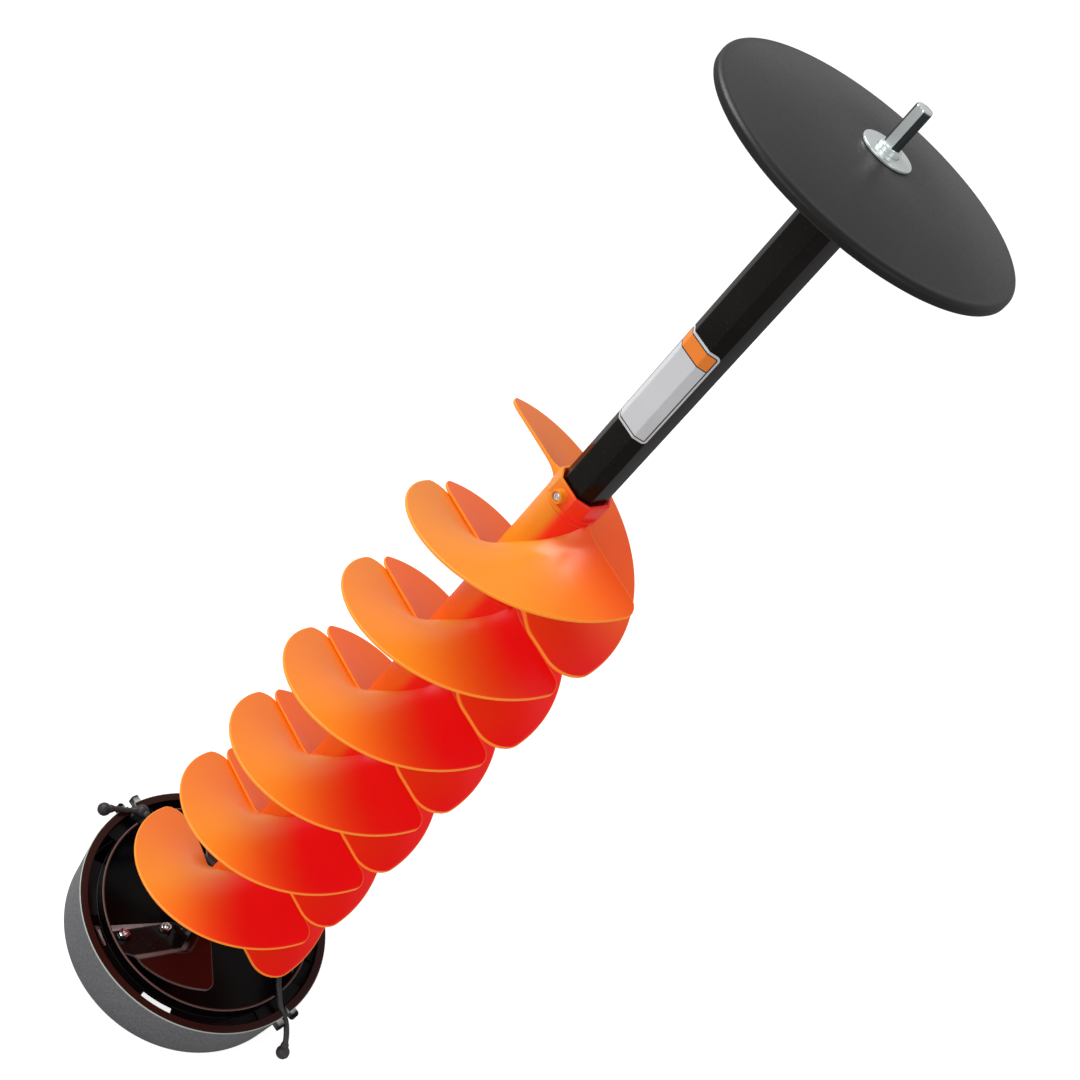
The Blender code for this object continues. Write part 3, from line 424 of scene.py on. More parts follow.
# each look: its slot in the record, the material's name and what builds it
looks = dict(orange=("orange_plastic", "orangePlastic", orangePlastic),
             paint=("black_paint", "blackPaint", blackPaint, (9, 5, 4), (15, 8, 6), 0.1),
             wing=("black_paint", "wingPaint", blackPaint, (8, 4, 4), (14, 7, 6), 0.12),
             satin=("black_plastic", "blackSatin", blackSatin), guard=("grey_plastic", "greyGuard", greyGuard),
             rubber=("rubber", "mattRubber", mattRubber), sticker=("black_paint", "stickerFace", stickerFace),
             bright=("zinc", "brightZinc", platedSteel, (214, 214, 216), (242, 242, 243), (0.1, 0.2), 2600, 1.0),
             zinc=("zinc", "zincPlate", platedSteel, (196, 204, 204), (236, 242, 240), (0.16, 0.3), 2600, 0.65),
             steel=("steel", "cutterSteel", platedSteel, (168, 150, 148), (206, 190, 188), (0.2, 0.34), 900,
                    0.45))
looks = {key: (slot, newMaterial(*rest)) for key, (slot, *rest) in looks.items()}
print("materials ready:", len(looks))


def finish(obj, look, *nodes, body="auger"):
    # its material, the nodes it stands for and the body it moves with
    slot, material = looks[look]
    obj.data.materials.clear()
    obj.data.materials.append(material)
    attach(obj, body)
    if nodes:
        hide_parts(*nodes)


# flighting: half-turn blades with level rulings on a sleeve, two starts

gap = 0.0003
flight = dict(modules=6, pitch=0.0993, sleeve=0.022, sleeveBore=0.0188, radius=0.0985, thickness=0.0028,
              startCorner=0.025, endCorner=0.013, overrun=0.006, overrunRamp=0.03, endStep=0.003,
              frontLift=0.0012, backLift=0.0077, filletReach=0.015, filletHeight=0.0052, root=0.001,
              edge=0.0009, edgeRows=(0, 0.06, 0.22, 0.5, 1.0, 2.4), chamfer=0.0005, paintedRimWidth=0.0011,
              # redFrom, redStep, topRed, underRed and sleeveRed place the painted red shade
              redFrom=(0.58, 0.48, 0.43, 0.41, 0.39, 0.35), redStep=0.05, topRed=0.7, underRed=0.7,
              sleeveRed=0.5)
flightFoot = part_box("head_hub")[1].z + gap


def flightBlade(k, front, low, high):
    # helicoid: x = r cos a, y = r sin a, z = foot + slope * turn, with turn from one free end to
    # the other; the start runs a little past half a turn, under the end of the other blade. Both
    # faces stand off by half the thickness, which falls to zero at the free edges as a quarter of a
    # squared circle and flares into the sleeve as a parabola
    f, outer, sleeve = flight, flight["radius"], flight["sleeve"]
    slope = (f["pitch"] - f["endStep"]) / pi
    inner = sleeve - f["root"]
    u = edgeRows(64, f["edgeRows"], f["edge"] / (pi * outer) * 1.6)[:, None]
    r = inner + (outer - inner) * edgeRows(26, f["edgeRows"], f["edge"] / (outer - inner))
    margins = []
    for corner, overrun in ((f["startCorner"], f["overrun"]), (f["endCorner"], 0)):
        inside = np.maximum(0, r - (outer - corner))
        setback = gap / 2 + corner - np.sqrt(np.maximum(0, corner ** 2 - inside ** 2))
        margins.append(np.arcsin((setback - overrun * smoothStep((r - sleeve) / f["overrunRamp"])) / r))
    start, end = margins
    turn = start + u * (pi - start - end)
    mid = low + f["frontLift" if front else "backLift"] + slope * turn
    fromEdge = np.minimum(outer - r, r * np.minimum(turn - start, pi - end - turn))
    square = np.clip(fromEdge / f["edge"], 0, 1)
    flare = np.clip(1 - (r - sleeve) / f["filletReach"], 0, 1) ** 2 * f["filletHeight"]
    half = (f["thickness"] / 2 * np.hypot(1, slope / r) + flare) * (1 - (1 - square) ** 2.6) ** (1 / 2.6)
    buried = r < sleeve + gap
    top = np.where(buried, np.minimum(mid + half, high), mid + half)
    bottom = np.where(buried, np.maximum(mid - half, low), mid - half)
    # painted shade: the colour deepens to red on a front blade from the share redFrom of its half turn, on a
    # back blade towards its start, and to at least underRed on the underside; less so on the top module
    share, out = np.clip(turn / pi, 0, 1), np.clip((r - sleeve) / (outer - sleeve), 0, 1)
    most = 1.0 if k else f["topRed"]
    if front:
        paintedShade = most * smoothStep((share - f["redFrom"][k] - 0.07 * out) / 0.42)
        paintedShade = np.maximum(paintedShade, f["redStep"] * k * (1 - smoothStep((share - 0.1) / 0.4)))
    else:
        paintedShade = 1 - 0.58 * smoothStep((share - 0.45) / 0.35) - 0.3 * (1 - smoothStep(share / 0.3)) * (1 - out)
        paintedShade = paintedShade * (1 - 1.3 * (1 - most) * smoothStep((share - 0.06) / 0.22))
    # the rim mask is a painted highlight along the free edges; the other mask is the painted shade
    masks = {"rim": 1 - smoothStep(fromEdge / f["paintedRimWidth"]), "paintedShade": (paintedShade, np.maximum(paintedShade, f["underRed"]))}
    angle = (pi if front else 0.0) + turn
    return sheetFrom(f"flight{'Front' if front else 'Back'}_{k + 1}", polar(r, angle, top),
                     polar(r, angle, bottom), masks, angle=60)


def paintedShadeSide(obj, least):
    # painted shade on a piece round the tube, with a painted red reflection of the blades: the red shade mask
    # grows towards +X
    co = cornersOf(obj.data)
    away = co[:, 0] / np.maximum(np.hypot(co[:, 0], co[:, 1]), 1e-6)
    addMask(obj.data, "paintedShade", least + (0.95 - least) * smoothStep((away - 0.15) / 0.4))
    return obj


def sleeveRing(name, low, high, least):
    outline = roundCorners(bandOutline(flight["sleeveBore"], flight["sleeve"], low, high),
                           [flight["chamfer"]] * 4, 3)
    return paintedShadeSide(revolve(name, outline, 96, flip=True), least)


def makeFlighting():
    top = flightFoot + flight["modules"] * flight["pitch"]
    for k in range(flight["modules"]):
        low = top - flight["pitch"] * (k + 1)
        high = low + flight["pitch"] - gap
        sleeve = sleeveRing(f"flightSleeve_{k + 1}", low, high, flight["sleeveRed"] if k else 0.0)
        for piece in (sleeve, flightBlade(k, True, low, high), flightBlade(k, False, low, high)):
            finish(piece, "orange", f"flight_module_{k + 1}")
    print("flighting:", flight["modules"], "modules")


makeFlighting()


# octagonal tube, collar and the shapes that follow its outline

tube = dict(wide=0.032, narrow=0.0354, wall=0.0025, corner=0.0016, chamfer=0.0004)


def octagon(grow=0.0, corner=tube["corner"], steps=5):
    # chamfered square by its widths across the wide and the narrow flats, corners rounded
    half = tube["wide"] / 2 + grow
    side = (tube["narrow"] / 2 + grow) * sqrt(2) - half
    quarter = np.array([(half, -side), (half, side), (side, half), (-side, half)])
    return roundCorners(np.concatenate([quarter, -quarter]), [corner] * 8, steps)


def sweepUp(name, rings):
    # (outline, height) pairs joined in order as a skin and closed back to the first
    points = np.stack([np.column_stack([ring, np.full(len(ring), z)]) for ring, z in rings])
    return gridMesh(name, points, closeU=True, flip=True)


def makeTube():
    low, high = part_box("drive_tube")
    outer, bore, chamfer = octagon(), octagon(-tube["wall"]), tube["chamfer"]
    rings = [(outer, low.z), (outer, high.z - chamfer), (octagon(-chamfer), high.z), (bore, high.z),
             (bore, low.z)]
    finish(sweepUp("octagonTube", rings), "paint", "drive_tube")
    print("tube")


makeTube()


# lock collar with its screw, both on the side at -Y

collar = dict(foot=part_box("lock_collar")[0].z, head=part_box("lock_collar")[1].z, grow=0.004, step=0.0034,
              recess=0.0016, recessDepth=0.003, edge=0.0011, corner=0.0012, boss=0.0055, bossBore=0.0023,
              bossFoot=0.017, reach=0.026, height=0.0104, counterbore=0.0036, seat=0.0233)
screw = dict(radius=0.0033, shank=0.002, foot=0.0163, top=0.0256, dome=0.0012, arm=0.00045, armEnd=0.0019)


def towardsScrew(obj):
    # from an axis along Z to the screw's axis, which points to -Y at the boss's height
    obj.data.transform(Matrix.Translation((0, 0, collar["foot"] + collar["height"])) @ axisTurn(90, "X"))
    return obj


def makeCollar():
    # end edges are quarter rounds: inset = edge (1 - sin t), height = edge (1 - cos t)
    c = collar
    t = np.linspace(0, pi / 2, 5)
    low, high, edge, floor = c["foot"] + c["step"], c["head"], c["edge"], c["head"] - c["recessDepth"]
    steps = [(c["grow"] - edge * (1 - sin(a)), low + edge * (1 - cos(a))) for a in t]
    steps += [(c["grow"] - edge * (1 - cos(a)), high - edge * (1 - sin(a))) for a in t]
    steps += [(c["recess"] + 0.0004, high), (c["recess"], high - 0.0004), (c["recess"], floor), (gap, floor),
              (gap, low)]
    body = sweepUp("collarBody", [(octagon(grow, c["corner"]), z) for grow, z in steps])
    finish(paintedShadeSide(body, 0.0), "orange", "lock_collar")
    finish(sleeveRing("collarFoot", c["foot"], low + 0.0006, 0.0), "orange", "lock_collar")
    boss = roundCorners([(c["bossBore"], c["bossFoot"]), (c["boss"] + 0.0008, c["bossFoot"]),
                         (c["boss"], 0.0206), (c["boss"], c["reach"]), (c["counterbore"], c["reach"]),
                         (c["counterbore"], c["seat"]), (c["bossBore"], c["seat"])],
                        [0, 0, 0.0008, 0.0006, 0.0003, 0.0002, 0])
    finish(towardsScrew(revolve("collarBoss", boss, 64, flip=True)), "orange", "lock_collar")


def makeScrew():
    # head: height = top - dome + dome sqrt(1 - (r / R) ^ 2.6), less a cross whose arms are rounded
    # steps across their width and length and get shallower outwards
    outer, top, dome, seat = screw["radius"], screw["top"], screw["dome"], collar["seat"] + gap
    r, a = np.linspace(1, 0.004, 44)[:, None] * outer, roundTurn(120)
    x, y = r * np.cos(a), r * np.sin(a)
    cross = np.zeros_like(x)
    p, q = (x + y) / sqrt(2), (x - y) / sqrt(2)
    for u, v in ((p, q), (q, p)):
        side = 1 - smoothStep((np.abs(u) - screw["arm"]) / 0.0002)
        end = 1 - smoothStep((np.abs(v) - screw["armEnd"]) / 0.0003)
        cross = np.maximum(cross, side * end * (1 - 0.45 * (np.abs(v) / 0.0021) ** 2))
    z = top - dome + dome * np.sqrt(np.maximum(0, 1 - (r / outer) ** 2.6)) - dome * cross
    wall = np.array([(screw["shank"], screw["foot"]), (screw["shank"], seat), (outer, seat)])
    points = np.concatenate([polar(wall[:, :1], a, wall[:, 1:]), np.stack([x, y, z], -1)])
    finish(towardsScrew(gridMesh("collarScrew", points, angle=40)), "zinc", "collar_screw")
    print("collar and screw")


makeCollar()
makeScrew()


# float disc, washer and drive shank

disc = dict(radius=0.116, bore=0.0098, flat=0.03, rise=0.0114, wall=0.0035, fold=0.0042, drop=0.0034)
washer = dict(bore=0.0083, radius=0.0185)
shank = dict(length=0.03, radius=0.00635, tip=0.00555, chamfer=0.0009, flat=0.0054, flatFoot=0.0007,
             shoulder=0.008, journal=0.0095, plug=0.0132)


def makeDisc():
    # dome: height = top - rise u^2 (1.5 - 0.5 u), u from the flat middle to the fold at the rim
    low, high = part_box("float_disc")
    d, top, foot, radius, brim = disc, high.z, low.z, disc["radius"], high.z - disc["rise"]
    u, t, shoulder = np.linspace(0, 1, 26), np.linspace(0.1, pi / 2, 7), radius - d["fold"]
    dome = np.stack([d["flat"] + (shoulder - d["flat"]) * u, top - d["rise"] * u ** 2 * (1.5 - 0.5 * u)], 1)
    fold = np.stack([shoulder + d["fold"] * np.sin(t), brim - d["drop"] * (1 - np.cos(t))], 1)
    edge = [(radius, foot + 0.0008), (radius - 0.0006, foot), (radius - 0.0019, foot),
            (radius - 0.0025, foot + 0.0006), (radius - 0.0032, brim - d["wall"])]
    outline = np.concatenate([[(d["bore"], top - 0.0003), (d["bore"] + 0.0003, top)], dome, fold, edge,
                              dome[::-1] - (0, d["wall"]), [(d["bore"], top - d["wall"])]])
    # painted shade darkens the folded outer lip
    lip = np.tile(smoothStep((outline[:, 0] - radius + 0.0042) / 0.003), 192)
    finish(revolve("floatDisc", outline, 192, {"lip": lip}, flip=True), "satin", "float_disc", body="disc")


def makeWasher():
    low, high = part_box("disc_washer")
    outline = roundCorners(bandOutline(washer["bore"], washer["radius"], low.z, high.z),
                           [0.0002, 0.0004, 0.0007, 0.0003])
    finish(revolve("discWasher", outline, 128, flip=True), "zinc", "disc_washer")


def makeShank():
    # turned profile; above the flats' foot the radius is the least of the round and
    # flat / cos(angle from each flat's middle)
    s, low, top = shank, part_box("shank_adapter")[0].z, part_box("shank_adapter")[1].z
    shoulder, foot = top - s["length"], top - s["length"] + s["flatFoot"]
    base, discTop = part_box("drive_tube")[1].z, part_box("float_disc")[1].z
    rows = [(0.0002, top), (s["tip"] - 0.0002, top), (s["tip"], top - 0.0001)]
    rows += [(s["radius"], z) for z in (top - s["chamfer"], *np.linspace(top - 0.002, foot + 0.00002, 14))]
    rows += [(s["radius"], foot - 0.00002), (s["radius"], shoulder + 0.0006), (0.0066, shoulder + 0.0001),
             (0.007, shoulder), (s["shoulder"] - 0.0004, shoulder), (s["shoulder"], shoulder - 0.0004),
             (s["shoulder"], discTop), (s["journal"], discTop), (s["journal"], base), (s["plug"], base),
             (s["plug"], low + 0.0006), (s["plug"] - 0.0006, low), (0.0002, low)]
    rows = np.array(rows)
    third, a = 2 * pi / 3, roundTurn(144)
    off = np.abs((a + pi / 2 + pi / 3) % third - pi / 3)
    flats = np.where((rows[:, 1] > foot)[:, None], s["flat"] / np.cos(off), 1.0)
    # arc: where the painted dark reflection goes, on the round parts between the flats
    arc = (flats > rows[:, :1]) & (rows[:, 1:] > foot) & (rows[:, 1:] < top - 0.0006)
    points = polar(np.minimum(rows[:, :1], flats), a, rows[:, 1:])
    finish(gridMesh("driveShank", points, {"arc": arc}, 28), "zinc", "shank_adapter")
    print("disc, washer and shank")


makeDisc()
makeWasher()
makeShank()


# cutting head: hub, point, pressed wings, bolted cutters

head = dict(hub=0.02047, socket=0.0188, base=0.026, top=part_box("head_hub")[1].z, lead=-99.0, sweep=74.8,
            foot=0.031, rise=0.0259, tilt=18.5, blend=0.012, mountSweep=42.0, fade=15.0, mountInner=0.03203,
            mountOuter=0.097, fanOuter=0.086, corner=0.009, thickness=0.003, depth=0.03, edge=0.0011,
            edgeRows=(0, 0.08, 0.3, 0.65, 1.0, 2.0), bead=0.0015)
bar = dict(inner=0.024, outer=0.1008, lead=0.0013, skew=6.7, width=0.03, thickness=0.003, bevel=0.007,
           land=0.0008, edge=0.00035)
bolt = dict(setback=0.009, stations=(0.039, 0.082), radius=0.003, hexagon=0.01, head=0.004, nut=0.005,
            end=0.0025, thread=0.001, threadDepth=0.0004, coneFrom=0.93, sides=72)
point = dict(plug=0.006, radius=0.009, cone=0.0112)


def mountFrame(side, station=0.0, back=0.0):
    # X out along the leading ruling, Y back, Z square to the mount
    return (axisTurn(180 * side) @ Matrix.Translation((0, 0, head["foot"])) @ axisTurn(head["lead"]) @
            axisTurn(head["tilt"], "X") @ Matrix.Translation((station, back, 0)))


def fanShare(radius, turn):
    # 0 on the flat mount behind the leading ruling, 1 on the helicoid fan
    return np.maximum(smoothStep((radius * np.sin(turn) - head["depth"]) / head["blend"]),
                      smoothStep((np.degrees(turn) - head["mountSweep"]) / head["fade"]))


def wingHeight(radius, turn):
    # the mount's tilted plane, blended into a helicoid that climbs round the hub
    flat = head["foot"] + radius * np.sin(turn) * tan(radians(head["tilt"]))
    twisted = head["foot"] + head["rise"] / radians(head["sweep"]) * turn
    offHub = smoothStep((radius - head["hub"]) / (head["mountInner"] - head["hub"]))
    return flat + (twisted - flat) * (1 - (1 - fanShare(radius, turn)) * offHub)


def makeWing(side):
    h, sweep, inner, corner = head, radians(head["sweep"]), head["hub"] + gap, head["corner"]
    first, letter = radians(h["lead"]), "ab"[side]
    u = edgeRows(110, h["edgeRows"], 0.01)[:, None]
    v = np.concatenate([np.linspace(0, 0.94, 46), 1 - np.array(h["edgeRows"][::-1]) * 0.016])
    drawn = smoothStep((np.degrees(sweep * u) - 12) / 12)
    reach = h["mountOuter"] + (h["fanOuter"] - h["mountOuter"]) * drawn
    r = inner + (reach - inner) * v
    inside = np.minimum(np.maximum(0, r - (h["fanOuter"] - corner)), corner)
    setback = np.arcsin((corner - np.sqrt(np.maximum(0, corner ** 2 - inside ** 2))) / r)
    turn = sweep * u - np.maximum(0, u - 0.5) * 2 * setback
    angle = first + turn + pi * side
    mid = wingHeight(r, turn)
    fromEdge = np.minimum(reach - r, np.minimum(r * turn, r * (sweep - setback - turn)))
    square = np.clip(fromEdge / h["edge"], 0, 1)
    half = h["thickness"] / 2 * np.hypot(1, h["rise"] / sweep / r) * (1 - (1 - square) ** 2.4) ** (1 / 2.4)
    # painted highlight on the bend between mount and fan, and along the rim; the fan mask carries a painted
    # reflection of the orange flights
    fan = fanShare(r, turn)
    paintedBendHighlight = 0.55 * smoothStep(fan / 0.06) * (1 - smoothStep((fan - 0.3) / 0.25)) * smoothStep((r - 0.034) / 0.01)
    masks = {"rim": 1 - smoothStep(fromEdge / 0.0012), "fan": fan, "paintedBendHighlight": paintedBendHighlight}
    finish(sheetFrom(f"pressedWing_{letter}", polar(r, angle, mid + half), polar(r, angle, mid - half), masks),
           "wing", f"wing_{letter}")
    # weld bead on the upper side of the root: a tube that swells once every 2 mm
    s = np.linspace(0.01, 0.99, 180)
    height = wingHeight(np.full_like(s, inner), sweep * s) + h["thickness"] / 2 * 1.25
    swell = h["bead"] * (1 + 0.1 * np.sin(2 * pi * s * (sweep * inner) / 0.002))
    swell = swell * np.minimum(1, np.minimum(s, 1 - s) * 30)
    path = polar(inner + 0.0002, first + sweep * s + pi * side, height)
    finish(sweepTube(f"weldBead_{letter}", path, swell, 14), "paint", f"wing_{letter}")


def makeCutter(side):
    # section across the bar: ground bevel from the land up to the top, edges rounded; the leading
    # edge runs back along the bar by the tangent of its skew
    b, length = bar, bar["outer"] - bar["inner"]
    top = -head["thickness"] / 2 - gap
    foot = top - b["thickness"]
    section = roundCorners([(0, foot), (0, foot + b["land"]), (b["bevel"], top), (b["width"], top),
                            (b["width"], foot)], [0.0001, 0.0002, 0.0006, b["edge"], b["edge"]], 3)
    centre = section.mean(0)
    # (distance, size): the ends close by drawing the section in towards its middle
    stations = [(0, 0.0), (0, 0.9972), (0.00012, 0.999), (0.0004, 1.0)]
    stations += [(length * k, 1.0) for k in np.linspace(0.05, 0.95, 20)]
    stations += [(length - d, size) for d, size in stations[3::-1]]
    rows = []
    for d, size in stations:
        ring, x = section + (centre - section) * (1 - size), b["inner"] + d
        back = ring[:, 0] - b["lead"] - x * tan(radians(b["skew"]))
        rows.append(np.column_stack([np.full(len(ring), x), back, ring[:, 1]]))
    obj = gridMesh(f"cutterBar_{'ab'[side]}", np.stack(rows), angle=25)
    obj.data.transform(mountFrame(side))
    finish(obj, "steel", f"blade_{'ab'[side]}")


def hexRows(rows):
    # hexagon of flats: r = apothem / cos(angle from the nearest flat's middle); a row is (share of
    # the hexagon or minus a radius, height, cone): past coneFrom * apothem a cone of 30 degrees
    # takes the corners down
    a, apothem = roundTurn(bolt["sides"]), bolt["hexagon"] / 2
    full = apothem / np.cos(np.abs((a + pi / 6) % (pi / 3) - pi / 6))
    points = []
    for share, z, cone in rows:
        r = full * share if share >= 0 else -share
        fall = np.maximum(0, r - bolt["coneFrom"] * apothem) * tan(radians(30)) * cone
        points.append(polar(r, a, z - fall))
    return np.stack(points)


def makeFastener(k):
    side, station = divmod(k, 2)
    place = mountFrame(side, bolt["stations"][station], bolt["setback"])
    plate, r, a = head["thickness"] / 2, bolt["radius"], roundTurn(bolt["sides"])
    base = plate + gap
    crown, flatTop = base + bolt["nut"], bolt["coneFrom"] * bolt["hexagon"] / 2
    rows = [(-r - gap, base, 0), (0.97, base, 0), (1.0, base + 0.0003, 0), (1.0, crown, 1),
            (0.985, crown, 1), (-flatTop, crown, 0), (-r - 0.0006, crown, 0), (-r - 0.0001, crown - 0.0005, 0),
            (-r - 0.0001, base, 0)]
    nut = gridMesh(f"hexNut_{k + 1}", hexRows(rows), angle=28, closeU=True)
    # head under the cutter and threaded end above the nut:
    # r = radius - depth |2 frac(z / pitch - a / 2 pi) - 1|
    foot = -plate - gap - bar["thickness"] - gap
    low = foot - bolt["head"]
    points = [hexRows([(-0.0001, low, 0), (-flatTop, low, 0), (0.985, low, -1), (1.0, low + 0.0002, -1),
                       (1.0, foot, 0), (-r, foot, 0)])]
    end = crown + bolt["end"]
    for z in np.arange(foot + 0.0002, end - 0.0006, 0.00012):
        saw = np.abs(2 * ((z / bolt["thread"] - a / (2 * pi)) % 1) - 1)
        points.append(polar(r - (bolt["threadDepth"] * saw if z > plate else 0 * a), a, z)[None])
    for radius, z in ((r - 0.0003, end - 0.0005), (r - 0.0008, end), (0.0001, end + 0.0001)):
        points.append(polar(radius, a, z)[None])
    screwed = gridMesh(f"hexBolt_{k + 1}", np.concatenate(points), angle=28)
    for piece, node in ((nut, "blade_nut"), (screwed, "blade_bolt")):
        piece.data.transform(place)
        finish(piece, "bright", f"{node}_{k + 1}")


def makeHub():
    h, p, seat = head, point, head["base"] - gap
    outline = roundCorners([(h["socket"], 0.0425), (h["socket"], h["top"]), (h["hub"], h["top"]),
                            (h["hub"], h["base"]), (0.0063, h["base"]), (0.0063, 0.0383), (0.004, 0.0425)],
                           [0, 0.0003, 0.0009, 0.0014, 0.0004, 0, 0])
    finish(revolve("headHub", outline, 128), "paint", "head_hub")
    low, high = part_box("centre_point")
    rows = [(0.0001, high.z), (p["plug"] - 0.0005, high.z), (p["plug"], high.z - 0.0005), (p["plug"], seat),
            (p["radius"] - 0.0004, seat), (p["radius"], seat - 0.0005), (p["radius"], low.z + p["cone"]),
            (p["radius"] - 0.0002, low.z + p["cone"] - 0.0006), (0.0007, low.z + 0.0001), (0.0003, low.z)]
    finish(revolve("centrePoint", rows, 96, closed=False, flip=True), "steel", "centre_point")


makeHub()
for side in range(2):
    makeWing(side)
    makeCutter(side)
for k in range(4):
    makeFastener(k)
print("cutting head")


# blade guard: turned skin cut by prisms, then marked by place

guard = dict(turn=12.2, height=0.054, base=0.12011, rim=0.12541, wall=0.003, floor=0.003,
             ringInner=0.10351, ringOuter=0.10571, ringTop=0.0585, channel=0.11741, webTop=0.0465,
             webFoot=0.0435, slots=8, slotAngle=16.0, slotStart=-52.0, slotMargin=0.0006, windowInner=0.07601,
             windowOuter=0.09101, windowMiddle=-48.0, windowAngle=28.0, notch=0.008, notchDepth=0.0095,
             vDepth=0.0062, vShift=2.3, lugSpread=4.3, lugWidth=0.007, lugHeight=0.0088, lugDrop=0.0006,
             lugReach=0.0068, lugRoot=0.004)


def skirt(z):
    return guard["base"] + (guard["rim"] - guard["base"]) * z / guard["height"]


def prismMesh(outlines, low, high, turn=Matrix(), bevel=0.0):
    # closed prisms over outlines, as a cutter or a lump that a boolean takes in
    verts, faces = [], []
    for outline in outlines:
        n, s = len(outline), len(verts)
        verts += [(float(x), float(y), z) for z in (low, high) for x, y in outline]
        faces += [tuple(s + k for k in range(n))[::-1], tuple(s + n + k for k in range(n))]
        faces += [(s + k, s + (k + 1) % n, s + n + (k + 1) % n, s + n + k) for k in range(n)]
    data = bpy.data.meshes.new("prism")
    data.from_pydata(verts, [], faces)
    data.transform(turn)
    work = bmesh.new()
    work.from_mesh(data)
    if bevel:
        sharp = [e for e in work.edges if e.calc_face_angle(0) > 0.9]
        bmesh.ops.bevel(work, geom=sharp, offset=bevel, segments=2, profile=0.5, affect="EDGES")
    bmesh.ops.recalc_face_normals(work, faces=work.faces)
    work.to_mesh(data)
    work.free()
    return addObject("prism", data)


def sector(inner, outer, middle, spread, steps=12, corner=0.0015):
    a = np.radians(middle + spread * (np.arange(steps + 1) / steps - 0.5))
    ring = np.concatenate([polar(outer, a, 0), polar(inner, a, 0)[::-1]])[:, :2]
    radii = np.zeros(len(ring))
    radii[[0, steps, steps + 1, -1]] = corner
    return roundCorners(ring, radii)


def cutBy(obj, tool, operation="DIFFERENCE"):
    step = obj.modifiers.new("cut", "BOOLEAN")
    step.operation, step.solver, step.object = operation, "EXACT", tool
    data = bpy.data.meshes.new_from_object(obj.evaluated_get(bpy.context.evaluated_depsgraph_get()))
    obj.modifiers.clear()
    obj.data = data
    bpy.data.objects.remove(tool, do_unlink=True)


def addLugs(obj):
    # two ears beside each notch: one square with eased corners, one with a round end
    g = guard
    inner, outer = g["rim"] - g["lugRoot"], g["rim"] + g["lugReach"]
    half, top = g["lugWidth"] / 2, g["height"] - g["lugDrop"]
    square = roundCorners(bandOutline(inner, outer, -half, half), [0, 0.0012, 0.0012, 0])
    arc = np.radians(np.linspace(-90, 90, 17))
    rounded = [(outer - half + half * cos(t), half * sin(t)) for t in arc]
    for k in range(2):
        for way, end in ((-1, square[1:-1].tolist()), (1, rounded)):
            lug = prismMesh([[(inner, -half)] + end + [(inner, half)]], top - g["lugHeight"], top,
                            axisTurn(g["turn"] + 180 * k + way * g["lugSpread"]), 0.0006)
            cutBy(obj, lug, "UNION")


def cutNotches(obj):
    # a round-bottomed notch through the rim for the strap, and a vee in the inner ring
    g, top = guard, guard["height"]
    half, deep = g["notch"] / 2, g["ringTop"] - g["vDepth"]
    floor = top - g["notchDepth"]
    arc = np.radians(np.linspace(180, 360, 17))
    notch = [(half * cos(t), floor + half + half * sin(t)) for t in arc]
    notch += [(half + 0.0004, top - 0.001), (half + 0.0014, top + 0.01), (-half - 0.0014, top + 0.01),
              (-half - 0.0004, top - 0.001)]
    vee = roundCorners([(0, deep), (0.012, deep + 0.012), (-0.012, deep + 0.012)], [0.0012, 0, 0], 5)
    for k in range(2):
        turn = g["turn"] + 180 * k
        for outline, start, length, shift in ((notch, g["channel"] - 0.002, 0.024, 0.0),
                                              (vee, g["ringInner"] - 0.003, 0.0082, g["vShift"])):
            # the prism's height runs outwards and its outline stands upright
            swap = Matrix(((0, 0, 1, start), (1, 0, 0, 0), (0, 1, 0, 0), (0, 0, 0, 1)))
            cutBy(obj, prismMesh([outline], 0.0, length, axisTurn(turn + shift) @ swap))


def makeGuard():
    g, middle = guard, 0.03
    floor, foot, web, high = g["floor"], g["webFoot"], g["webTop"], g["height"]
    outline = [(middle, floor), (skirt(floor) - g["wall"], floor), (skirt(foot) - g["wall"], foot),
               (g["ringInner"], foot), (g["ringInner"], g["ringTop"]), (g["ringOuter"], g["ringTop"]),
               (g["ringOuter"], web), (g["channel"], web), (g["channel"], high), (skirt(high), high)]
    outline += [(skirt(z), z) for z in (0.0522, 0.0505, 0.044, 0.03, 0.016, 0.006, 0.0)]
    outline += [(middle, 0.0)]
    rounding = [0, 0.004, 0.0006, 0.0004, 0.0006, 0.0006, 0.001, 0.001, 0.0007, 0.0012]
    rounding += [0] * 6 + [0.0022, 0]
    obj = revolve("guardShell", roundCorners(outline, rounding, 5), 256)
    bottom = [(0.0006, 0.0), (0.0006, floor), (middle + 0.001, floor), (middle + 0.001, 0.0)]
    cutBy(obj, revolve("guardMiddle", bottom, 256), "UNION")
    addLugs(obj)
    slots = [sector(g["ringOuter"] + g["slotMargin"], g["channel"] - g["slotMargin"],
                    g["slotStart"] + 360 / g["slots"] * k, g["slotAngle"]) for k in range(g["slots"])]
    cutBy(obj, prismMesh(slots, foot - 0.003, web + 0.003))
    windows = [sector(g["windowInner"], g["windowOuter"], g["windowMiddle"] + 180 * k, g["windowAngle"],
                      14, 0.003) for k in range(2)]
    cutBy(obj, prismMesh(windows, -0.003, 0.006))
    cutNotches(obj)
    markGuard(obj.data)
    finish(obj, "guard", "blade_guard", body="guard")
    print("guard:", len(obj.data.polygons), "faces")


